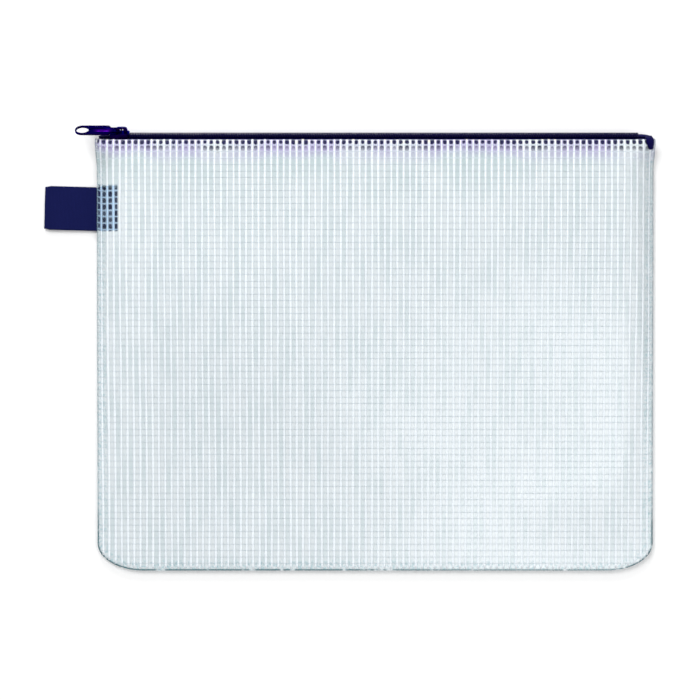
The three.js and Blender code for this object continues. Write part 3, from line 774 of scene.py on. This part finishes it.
class PouchZipperSettings(bpy.types.PropertyGroup):
    """Tapes, coils, slider and pull."""

    tape_color: color_setting("Tape", "Colour of the tape", (0.0012, 0.0006, 0.034))
    coil_color: color_setting("Coil", "Colour of the coils", (0.0006, 0.0003, 0.02))
    enamel_color: color_setting("Enamel", "Colour of slider and pull", (0.0035, 0.0003, 0.03))
    # The crown colour is a painted highlight: brighter enamel laid over the pull's swell.
    crown_highlight_color: color_setting("Crown colour", "Colour of the pull's swell", (0.027, 0.0013, 0.118))
    crown: length_setting("Crown", "Height of the swell along the pull", 0.00022)
    wire: length_setting("Wire", "Thickness of the coil's wire", 0.00052)


class PouchRibbonSettings(bpy.types.PropertyGroup):
    """Ribbon loop."""

    ribbon_color: color_setting("Ribbon", "Colour of the ribbon", (0.0045, 0.0065, 0.047))
    rib: length_setting("Rib", "Distance between the ribbon's ribs", 0.00062)


class PouchStageSettings(bpy.types.PropertyGroup):
    """Floor, camera and light."""

    floor_color: color_setting("Floor", "Colour of the floor", (0.96, 0.96, 0.96))
    camera_height: length_setting("Camera height", "Height of the camera over the floor", 0.892)
    lamp_power: FloatProperty(name="Lamp", description="Power of the main lamp", unit="POWER", default=10.2)
    sky: share_setting("Sky", "Strength of the even light", 0.47)


# Pieces


def film_grid():
    """x and drop below the fold of the film's grid, its rows closest on the fold and at the corners."""
    wrap = -(FOLD_RADIUS + FILM_OFFSET) * (FRONT_TURN - FILM_WRAP_START)
    corner = FALL - CORNER_UP
    drops = np.concatenate(
        [
            np.linspace(wrap, 0, 6, endpoint=False),
            np.linspace(0, corner, 118, endpoint=False),
            corner + CORNER_UP * np.sin(np.linspace(0, np.pi / 2, 16)),
        ]
    )
    width = panel_half(FOLD_Y - np.maximum(drops, 0))
    x = np.linspace(-1, 1, 200)[None] * width[:, None]
    return x, drops[:, None] + 0 * x


def cell_coordinates(settings, x, drop):
    """Surface coordinates that count the grid's cells, whole on the threads."""
    columns = x * MM / settings.column_pitch + (settings.columns - 1) / 2
    return np.stack([columns, (drop - FIRST_ROW) * MM / settings.row_pitch], -1)


def mark_edge(piece, x, y):
    """Keeps each point's distance to the panel's edge, in millimetres, for the finish."""
    mark = piece.data.attributes.new("edge", "FLOAT", "POINT")
    mark.data.foreach_set("value", edge_distance(x, y).astype(np.float32).ravel())


def front_film_points(x, drop, height):
    """Points at a height over the front film's middle, and the normals there."""
    return raised(front_middle, 1, x, stage_below(drop), FILM_OFFSET + film_rise(x, drop) + height)


def back_points(x, y):
    """Points in the back film's middle, kept inside its edge."""
    half = panel_half(y) - BACK_INSET
    return np.stack([np.clip(x, -half, half), y, FILM_SEAT / 2 + 0 * x], -1)


class POUCH_OT_front_film(bpy.types.Operator):
    """Front panel of clear film, wrapped over the front fold and sewn in at the sides and bottom."""

    bl_idname = "pouch.front_film"
    bl_label = "Front film"

    def execute(self, context):
        settings = context.scene.pouch_film
        x, drop = film_grid()
        points, _ = front_film_points(x, drop, 0)
        uv = cell_coordinates(settings, x, drop)
        piece = new_sheet("front_film", points, film_finish(settings), uv)
        mark_edge(piece, x, points[..., 1])
        thicken(piece, settings.thickness / MM, film_rim_finish(settings))
        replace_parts(piece, "front_panel")
        flat = (BODY_WIDTH * MM, (FALL + FOLD_WRAP) * MM)
        return {"FINISHED"}


class POUCH_OT_back_film(bpy.types.Operator):
    """Back panel of the same film, lying flat under the front one."""

    bl_idname = "pouch.back_film"
    bl_label = "Back film"

    def execute(self, context):
        settings = context.scene.pouch_film
        x, drop = film_grid()
        y = TOP_Y - (drop - drop.min()) * BODY_HEIGHT / (drop.max() - drop.min())
        x = np.linspace(-1, 1, x.shape[1])[None] * panel_half(y)
        points = np.stack([x, y, FILM_SEAT / 2 + 0 * x], -1)
        uv = cell_coordinates(settings, (x - BACK_SHIFT) / BACK_STRETCH, TOP_Y - BACK_FIRST - y)
        piece = new_sheet("back_film", points, bpy.data.materials["clear_film"], uv)
        mark_edge(piece, x, y)
        thicken(piece, settings.thickness / MM, bpy.data.materials["film_rim"])
        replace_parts(piece, "back_panel")
        return {"FINISHED"}


class POUCH_OT_thread_grid(bpy.types.Operator):
    """Thread grids laid in both films: broad white upright threads and thinner cross threads."""

    bl_idname = "pouch.thread_grid"
    bl_label = "Thread grid"

    def execute(self, context):
        settings = context.scene.pouch_film
        upright = strand_finish("upright_thread", settings.thread_color, cream_ends=True)
        cross = strand_finish("cross_thread", settings.cross_color)
        count = settings.columns
        places = (np.arange(count) - (count - 1) / 2)[:, None] * (settings.column_pitch / MM)
        corner = np.clip((np.abs(places) - HALF_WIDTH + CORNER_ALONG) / CORNER_ALONG, 0, 0.995)
        ends = FALL - CORNER_UP * (1 - np.sqrt(1 - corner**2)) - THREAD_END
        chance = np.random.default_rng(7)
        phase = chance.uniform(0, 6.28, count)[:, None]
        starts = chance.uniform(*THREAD_STARTS, count)[:, None]
        share = np.concatenate([np.linspace(0, 0.012, 5, endpoint=False), np.linspace(0.012, 1, 96)])
        drop = starts + (ends - starts) * share
        x = places + 0.1 * np.sin(drop / 17 + phase) * smooth(drop, 0, 10)
        paths, normals = front_film_points(x, drop, THREAD_RISE)
        breadth = chance.uniform(*THREAD_HALF_WIDTHS, count)[:, None]
        flare = chance.uniform(*THREAD_FLARES, count)[:, None] * (1 - smooth(drop, -1, 4))
        wide = (breadth * (1 + flare) + 0.07 * np.sin(drop / 3.1 + phase))[..., None]
        halves = (wide, THREAD_HALF_HEIGHT)
        new_strands("front_upright_threads", paths, normals, halves, FALL, upright)
        fall = (drop - starts) / (FALL - THREAD_END - starts)
        y = TOP_Y - BACK_END - fall * (BODY_HEIGHT - 2 * BACK_END)
        back = back_points(x * BACK_STRETCH + BACK_SHIFT, y)
        halves = (wide * BACK_NARROWING, BACK_HALF_HEIGHT)
        new_strands("back_upright_threads", back, UP, halves, FALL, upright)
        drops = FIRST_ROW + np.arange(settings.rows)[:, None] * (settings.row_pitch / MM)
        x = np.linspace(-1, 1, 130) * (panel_half(FOLD_Y - drops) - CROSS_INSET)
        drop = drops + 0.07 * np.sin(x / 13 + drops)
        paths, normals = front_film_points(x, drop, CROSS_RISE)
        new_strands("front_cross_threads", paths, normals, CROSS_HALVES, BODY_WIDTH, cross, sides=4)
        back = back_points(x, TOP_Y - BACK_FIRST - drop)
        new_strands("back_cross_threads", back, UP, CROSS_HALVES, BODY_WIDTH, cross, sides=4)
        return {"FINISHED"}


def tape_points(surface, side, drop_end):
    """Grid along a tape's middle, from the coil over the fold to the sewn strip, and its coordinates."""
    below = 2 + np.linspace(0, drop_end, 9) / FALL
    band = (np.linspace(0, 1, 6, endpoint=False), np.linspace(1, 2, 12, endpoint=False))
    stage = np.concatenate([*band, below])
    end = HALF_WIDTH - TAPE_END_INSET
    grid_x, grid_stage = np.meshgrid(np.linspace(-end, end, 360), stage)
    wave = 0.04 * np.sin(grid_x / 4.1) * np.clip(grid_stage - 0.3, 0, 1)
    points, _ = raised(surface, side, grid_x, grid_stage, wave)
    width = run_length(points[:, points.shape[1] // 2])
    return points, np.stack([grid_x, width[:, None] + 0 * grid_x], -1)


class POUCH_OT_zipper_tapes(bpy.types.Operator):
    """Woven tapes that carry the coils, and the tape's end turned down over the right corner."""

    bl_idname = "pouch.zipper_tapes"
    bl_label = "Zipper tapes"

    def execute(self, context):
        color = context.scene.pouch_zipper.tape_color
        light = tuple(c * 2.1 + 0.0012 for c in color)
        finish = weave_finish("tape_weave", color, light, rib=0.62, pick=0.45)
        for name, node, surface, side, drop_end in (
            ("front_tape", "front_zip_tape", front_middle, 1, FRONT_DROP),
            ("back_tape", "back_zip_tape", back_middle, -1, BACK_DROP),
        ):
            points, uv = tape_points(surface, side, drop_end)
            piece = new_sheet(name, points, finish, uv, flipped=side < 0)
            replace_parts(thicken(piece, TAPE), node)
        offset = FILM_OFFSET + FILM_SEAT / 2 + SEAT_GAP + END_TURN_THICKNESS / 2
        below = 2 + np.linspace(0.4, END_TURN_DROP, 8) / FALL
        band = (np.linspace(0, 1, 6, endpoint=False), np.linspace(1, 2, 10))
        stage = np.concatenate([*band, below])[:, None]
        narrow = np.clip((stage - 2) * FALL / END_TURN_DROP, 0, 1) ** 1.5
        share = np.linspace(0, 1, 14)
        x = HALF_WIDTH - END_TURN_INSET - END_TURN_WIDTH + share * (END_TURN_WIDTH - 0.4 * narrow)
        x = x + 1.1 * narrow * (1 - share)
        points, _ = raised(front_middle, 1, x, stage + 0 * x, offset)
        down = run_length(points[:, 7])
        uv = np.stack([x, down[:, None] + 0 * x], -1)
        piece = new_sheet("tape_end", points, finish, uv)
        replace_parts(thicken(piece, END_TURN_THICKNESS), "zip_end_turn")
        return {"FINISHED"}


def coil_spread(x):
    """How far a coil stands off its closed place: a smooth step across the slider's wedge."""
    return SPREAD * smooth(SLIDER_X + SPREAD_START - x, 0, SPREAD_RUN)


class POUCH_OT_coils(bpy.types.Operator):
    """Wound coils with their filler cords and the thread that sews each coil to its tape.

    The wire's middle goes round a flattened loop. It moves on by a pitch a turn, nearly all of it along the
    outer bend, so that its two legs lie over each other, and it widens at the head that locks.
    """

    bl_idname = "pouch.coils"
    bl_label = "Coils"

    def execute(self, context):
        settings = context.scene.pouch_zipper
        finish = coil_finish(settings)
        sewing = thread_finish("coil_sewing_thread", tuple(c * 1.6 + 0.001 for c in settings.tape_color))
        radius = settings.wire / MM / 2
        turns = int((COIL_RIGHT - COIL_LEFT - COIL_PITCH) / COIL_PITCH)
        turn = np.linspace(0.02, turns - 0.02, turns * TURN_STEPS)
        angle = math.tau * turn
        reach = (COIL_OUTER + HEAD_PAST_CENTRE) / 2 - radius
        middle = (COIL_OUTER - HEAD_PAST_CENTRE) / 2
        round_trip = np.stack([np.cos(angle), np.sin(angle)])
        squared_cos, squared_sin = np.sign(round_trip) * np.abs(round_trip) ** WIRE_SQUARENESS
        out = COIL_MIDDLE + (COIL_HEIGHT / 2 - radius) * squared_sin
        wide = (radius + WIRE_HEAD * smooth(-np.cos(angle), 0.55, 0.98))[None, :, None]
        for half, side in (("front", -1), ("back", 1)):
            start = COIL_LEFT + COIL_PITCH * (0.5 if side > 0 else 0) + 0.25
            x = start + COIL_PITCH * (turn + WIRE_LEAN * np.sin(angle) / math.tau)
            paths = chain_points(x, side * (middle + reach * squared_cos + coil_spread(x)), out)[None]
            centre = chain_points(x, side * (middle + coil_spread(x)), COIL_MIDDLE)[None]
            ups = np.cross(unit(np.gradient(paths, axis=1)), (1.0, 0.0, 0.0)) + 1e-4 * (paths - centre)
            piece = new_strands(f"{half}_coil_wire", paths, ups, (wide, radius), turns * 6.0, finish)
            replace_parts(piece, f"{half}_coil")
            run = np.linspace(COIL_LEFT + 0.3, COIL_RIGHT - 0.8, CORD_STEPS)
            core = chain_points(run, side * (middle + 0.15 + coil_spread(run)), COIL_MIDDLE)[None]
            length = CORD_STEPS / 2
            new_strands(f"{half}_filler_cord", core, OUT_OF_MOUTH, FILLER_HALVES, length, sewing)
            lift = COIL_FOOT + COIL_HEIGHT + 0.02 + 0.09 * np.cos(math.tau * (run - start) / COIL_PITCH)
            rows = np.stack(
                [chain_points(run, side * (place + coil_spread(run)), lift) for place in SEWING_ROWS]
            )
            new_strands(
                f"{half}_coil_sewing", rows, OUT_OF_MOUTH, SEWING_HALVES, length, sewing, sides=4
            )
        return {"FINISHED"}


class POUCH_OT_slider(bpy.types.Operator):
    """Enamel on the slider and its pull."""

    bl_idname = "pouch.slider"
    bl_label = "Slider and pull"

    def execute(self, context):
        settings = context.scene.pouch_zipper
        low, high = (np.array(corner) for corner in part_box("pull_tab"))
        centre = (low + high) / 2
        centre[0] = CROWN_X * MM
        crown = (centre, (0, math.sin(ROLL + PULL_TWIST), -math.cos(ROLL + PULL_TWIST)))
        for node, finish in (
            ("slider_body", enamel_finish("slider_enamel", settings)),
            ("pull_tab", enamel_finish("pull_enamel", settings, crown)),
        ):
            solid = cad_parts[node]
            solid.data.materials.clear()
            solid.data.materials.append(finish)
        return {"FINISHED"}


class POUCH_OT_zipper_stitching(bpy.types.Operator):
    """Lock stitches that hold each film to its tape, on the tapes' inner faces."""

    bl_idname = "pouch.zipper_stitching"
    bl_label = "Zipper stitching"

    def execute(self, context):
        finish = thread_finish("sewing_thread", STITCH_WHITE)
        half = HALF_WIDTH - STITCH_END_INSET
        starts = np.arange(-half, half - STITCH_LENGTH - 0.1, STITCH_PITCH)
        share = np.linspace(0, 1, 7)
        x = starts[:, None] + STITCH_LENGTH * share
        sink = -TAPE / 2 - SEAT_GAP - 0.15 * np.sin(np.pi * share) ** 0.5
        for name, node, surface, side in (
            ("front_zipper_stitches", "front_zip_stitch", front_middle, 1),
            ("back_zipper_stitches", "back_zip_stitch", back_middle, -1),
        ):
            stage = 2 + STITCH_DROP / FALL + 0 * x
            paths, normals = raised(surface, side, x, stage, sink + 0 * x)
            piece = new_strands(name, paths, normals, STITCH_HALVES, STITCH_LENGTH, finish)
            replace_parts(piece, node)
        return {"FINISHED"}


def outline_path(inset, start, end, count):
    """Points along the panel's edge, drawn in, from a height on the right side round to one on the left."""
    turn = np.linspace(0, np.pi / 2, 24)
    right_x = HALF_WIDTH - CORNER_ALONG + (CORNER_ALONG - inset) * np.cos(turn)
    right_y = BOTTOM_Y + CORNER_UP - (CORNER_UP - inset) * np.sin(turn)
    x = np.concatenate([[HALF_WIDTH - inset], right_x, -right_x[::-1], [inset - HALF_WIDTH]])
    y = np.concatenate([[start], right_y, right_y[::-1], [end]])
    reach = run_length(np.stack([x, y], -1))
    along = np.linspace(0, 1, count) * reach[-1]
    return np.interp(along, reach, x), np.interp(along, reach, y), along


class POUCH_OT_seams(bpy.types.Operator):
    """Side and bottom seams: the films' turned-in edges pressed together, with their stitches."""

    bl_idname = "pouch.seams"
    bl_label = "Seams"

    def execute(self, context):
        settings = context.scene.pouch_film
        finish = seam_finish(settings)
        top = FOLD_Y - FRONT_DROP - SEAT_GAP
        ribbon_top = TOP_Y - RIBBON_BELOW_MOUTH + RIBBON_WIDTH / 2
        room = RIBBON_IN * abs(math.sin(RIBBON_TILT)) + SEAT_GAP
        end = ribbon_top - RIBBON_WIDTH - room
        level = SEAM_Z + SEAM_STACK / 2
        widths = np.linspace(0, 1, 9)[:, None]
        lines = [outline_path(SEAM_INSET + SEAM_WIDTH * width, top, end, 420) for width in widths[:, 0]]
        x, y, along = (np.stack(part) for part in zip(*lines))
        wave = 0.16 * np.sin(along / 3.7) * np.sin(along / 11) * widths
        points = np.stack([x, y, level + wave], -1)
        uv = np.stack([along, widths + 0 * along], -1)
        piece = new_sheet("seam_allowance", points, finish, uv, flipped=True)
        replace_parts(thicken(piece, SEAM_FILM), "side_and_bottom_seam")
        y = np.linspace(ribbon_top + room, top, 40) + 0 * widths
        x = SEAM_INSET + SEAM_WIDTH * widths - HALF_WIDTH + 0 * y
        points = np.stack([x, y, level + 0.1 * np.sin(y / 3) * widths], -1)
        uv = np.stack([y, widths + 0 * y], -1)
        piece = new_sheet("upper_seam_allowance", points, finish, uv, flipped=True)
        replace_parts(thicken(piece, SEAM_FILM), "upper_left_seam")
        x, y, along = outline_path(SEAM_INSET + SEAM_STITCH_INSET, top - 1, end - 1, 1800)
        starts = np.arange(int(along[-1] / SEAM_STITCH_PITCH)) * SEAM_STITCH_PITCH
        share = np.linspace(0, 1, 7)
        place = starts[:, None] + SEAM_STITCH_LENGTH * share
        bow = level + 0.27 + 0.1 * np.sin(np.pi * share) ** 0.5 + 0 * place
        paths = np.stack([np.interp(place, along, x), np.interp(place, along, y), bow], -1)
        thread = bpy.data.materials["sewing_thread"]
        new_strands("seam_stitches", paths, UP, SEAM_STITCH_HALVES, SEAM_STITCH_LENGTH, thread)
        return {"FINISHED"}


class POUCH_OT_ribbon(bpy.types.Operator):
    """Ribbon loop: one woven strip folded double, its ends caught in the side seam.

    Its middle line runs out along the lower layer, round a half circle at the fold and back along the upper
    one, and the strip is that line carried across the ribbon's width.
    """

    bl_idname = "pouch.ribbon"
    bl_label = "Ribbon loop"

    def execute(self, context):
        settings = context.scene.pouch_ribbon
        color = settings.ribbon_color
        light = tuple(c * 1.35 + 0.001 for c in color)
        finish = weave_finish("ribbon_weave", color, light, rib=settings.rib / MM, pick=0.5, roughness=0.62)
        low = SEAM_Z + RIBBON / 2
        high = low + RIBBON + RIBBON_GAP
        radius = (high - low + FOLD_LIFT) / 2
        hub_x = -RIBBON_OUT + RIBBON / 2 + radius
        hub_z = (low + high) / 2
        run = np.linspace(0, 1, 40, endpoint=False)
        out_x = RIBBON_IN + (hub_x - RIBBON_IN) * run
        settle = smooth(-out_x, -FOLD_RUN - hub_x - 5, -hub_x)
        out_z = low + (hub_z - radius - low) * settle
        turn = np.linspace(0, np.pi, 18)
        arc_x = hub_x - radius * np.sin(turn)
        arc_z = hub_z - radius * np.cos(turn)
        back_z = high + (hub_z + radius - high) * settle
        x = np.concatenate([out_x, arc_x, out_x[::-1]])
        z = np.concatenate([out_z, arc_z, back_z[::-1]])
        length = run_length(np.stack([x, z], -1))
        width = np.linspace(-0.5, 0.5, 33) * RIBBON_WIDTH
        grid_x = x[:, None] + 0 * width
        wave = 0.1 * np.sin(width / 3.4 + 1) * np.sin(grid_x / 5) * smooth(-grid_x, 1, 10)
        grid_z = z[:, None] + wave * np.sign(z[:, None] - hub_z + 0.5)
        grid_y = width + 0 * grid_x
        corner = 0.45 * smooth(np.abs(grid_y), 9.2, 10) * smooth(-grid_x, -hub_x - 2.2, -hub_x + 0.6)
        grid_y = grid_y - np.sign(grid_y) * corner
        cos, sin = math.cos(RIBBON_TILT), math.sin(RIBBON_TILT)
        turned_x = grid_x * cos - grid_y * sin - HALF_WIDTH
        turned_y = grid_x * sin + grid_y * cos + TOP_Y - RIBBON_BELOW_MOUTH
        points = np.stack([turned_x, turned_y, grid_z], -1)
        uv = np.stack([grid_y, length[:, None] + 0 * grid_y], -1)
        piece = new_sheet("ribbon", points, finish, uv)
        thicken(piece, RIBBON - 0.02)
        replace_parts(piece, "ribbon_loop")
        return {"FINISHED"}


def background_rays(tree):
    """One for the rays that show the background: from the camera, off gloss or through glass."""
    path = tree.nodes.new("ShaderNodeLightPath")
    kinds = ("Camera", "Glossy", "Transmission")
    camera, glossy, passed = (Socket(tree, path.outputs[f"Is {kind} Ray"]) for kind in kinds)
    return camera.math("MAXIMUM", camera.math("MAXIMUM", camera, glossy), passed)


def new_floor(settings):
    """A pale floor that shows white, keeps the pouch's shadow and fades into the sky further out."""
    finish = Finish("floor", settings.floor_color, 0.9, Specular_IOR_Level=0.0)
    shade = tuple(c * 0.97 for c in settings.floor_color)
    pale = finish.blend(finish.noise(3, 2), settings.floor_color, shade)
    seen = background_rays(finish.tree)
    finish.feed("Base Color", finish.blend(seen, pale, (1.0, 1.0, 1.0)))
    reach = finish.node("ShaderNodeVectorMath", {"operation": "LENGTH"}, {0: finish.place()}, output=1)
    far = finish.between(reach, *FLOOR_FADE) * seen
    solid = Socket(finish.tree, finish.shader.outputs[0])
    mesh = bpy.data.meshes.new("floor")
    corners = [(x * FLOOR_HALF, y * FLOOR_HALF, FLOOR_LEVEL) for x, y in ((-1, -1), (1, -1), (1, 1), (-1, 1))]
    mesh.from_pydata(corners, [], [(0, 1, 2, 3)])
    mesh.materials.append(finish.show(finish.mix(far, solid, finish.node("ShaderNodeBsdfTransparent"))))
    floor = bpy.data.objects.new("floor", mesh)
    bpy.context.scene.collection.objects.link(floor)


def new_sky(settings):
    """A world that shows white and lights the pouch evenly at the setting's strength."""
    world = bpy.data.worlds.new("sky")
    world.use_nodes = True
    tree = world.node_tree
    even = tree.nodes["Background"]
    even.inputs["Color"].default_value = (1, 1, 1, 1)
    strength = background_rays(tree) * (1 - settings.sky) + settings.sky
    tree.links.new(strength.output, even.inputs["Strength"])
    return world


class POUCH_OT_stage(bpy.types.Operator):
    """Pale floor, soft lamps, even sky and the camera straight above the pouch."""

    bl_idname = "pouch.stage"
    bl_label = "Stage"

    def execute(self, context):
        scene = context.scene
        settings = scene.pouch_stage
        scene.view_settings.view_transform = "Standard"
        camera = bpy.data.cameras.new("camera")
        camera.lens = 100
        camera.sensor_width = 36
        view = bpy.data.objects.new("camera", camera)
        view.location = (*CAMERA_PLACE, settings.camera_height)
        scene.collection.objects.link(view)
        scene.camera = view
        new_floor(settings)
        scene.world = new_sky(settings)
        for name, place, sides, share in LAMPS:
            lamp = bpy.data.lights.new(name, "AREA")
            lamp.shape = "RECTANGLE"
            lamp.size, lamp.size_y = sides
            lamp.energy = settings.lamp_power * share
            holder = bpy.data.objects.new(name, lamp)
            holder.location = place
            holder.rotation_euler = mathutils.Vector(place).to_track_quat("Z", "Y").to_euler()
            if name == "glare":
                holder.rotation_euler = GLARE_TURN
                holder.visible_diffuse = False
            scene.collection.objects.link(holder)
        return {"FINISHED"}


class POUCH_PT_panel(bpy.types.Panel):
    """Lists the pouch's pieces and their settings."""

    bl_label = "Pouch"
    bl_idname = "POUCH_PT_panel"
    bl_space_type = "VIEW_3D"
    bl_region_type = "UI"
    bl_category = "Pouch"

    def draw(self, context):
        """Draws a button for each piece and a box for each group of settings."""
        for operator in OPERATORS:
            self.layout.operator(operator.bl_idname)
        for name, group in SETTINGS.items():
            box = self.layout.box()
            box.label(text=group.bl_rna.name)
            for prop in group.__annotations__:
                box.prop(getattr(context.scene, name), prop)


OPERATORS = (
    POUCH_OT_stage,
    POUCH_OT_front_film,
    POUCH_OT_back_film,
    POUCH_OT_thread_grid,
    POUCH_OT_zipper_tapes,
    POUCH_OT_coils,
    POUCH_OT_slider,
    POUCH_OT_zipper_stitching,
    POUCH_OT_seams,
    POUCH_OT_ribbon,
)
SETTINGS = {
    "pouch_film": PouchFilmSettings,
    "pouch_zipper": PouchZipperSettings,
    "pouch_ribbon": PouchRibbonSettings,
    "pouch_stage": PouchStageSettings,
}


def register():
    """Adds the classes and their settings to Blender."""
    for item in (*SETTINGS.values(), *OPERATORS, POUCH_PT_panel):
        bpy.utils.register_class(item)
    for name, group in SETTINGS.items():
        setattr(bpy.types.Scene, name, PointerProperty(type=group))


def unregister():
    """Takes the settings and the classes out again."""
    for name in SETTINGS:
        delattr(bpy.types.Scene, name)
    for item in (POUCH_PT_panel, *reversed(OPERATORS), *reversed(SETTINGS.values())):
        bpy.utils.unregister_class(item)


def main():
    """Makes every piece in order."""
    register()
    bpy.ops.pouch.stage()
    bpy.ops.pouch.front_film()
    bpy.ops.pouch.back_film()
    bpy.ops.pouch.thread_grid()
    bpy.ops.pouch.zipper_tapes()
    bpy.ops.pouch.coils()
    bpy.ops.pouch.slider()
    bpy.ops.pouch.zipper_stitching()
    bpy.ops.pouch.seams()
    bpy.ops.pouch.ribbon()


if __name__ == "__main__":
    main()
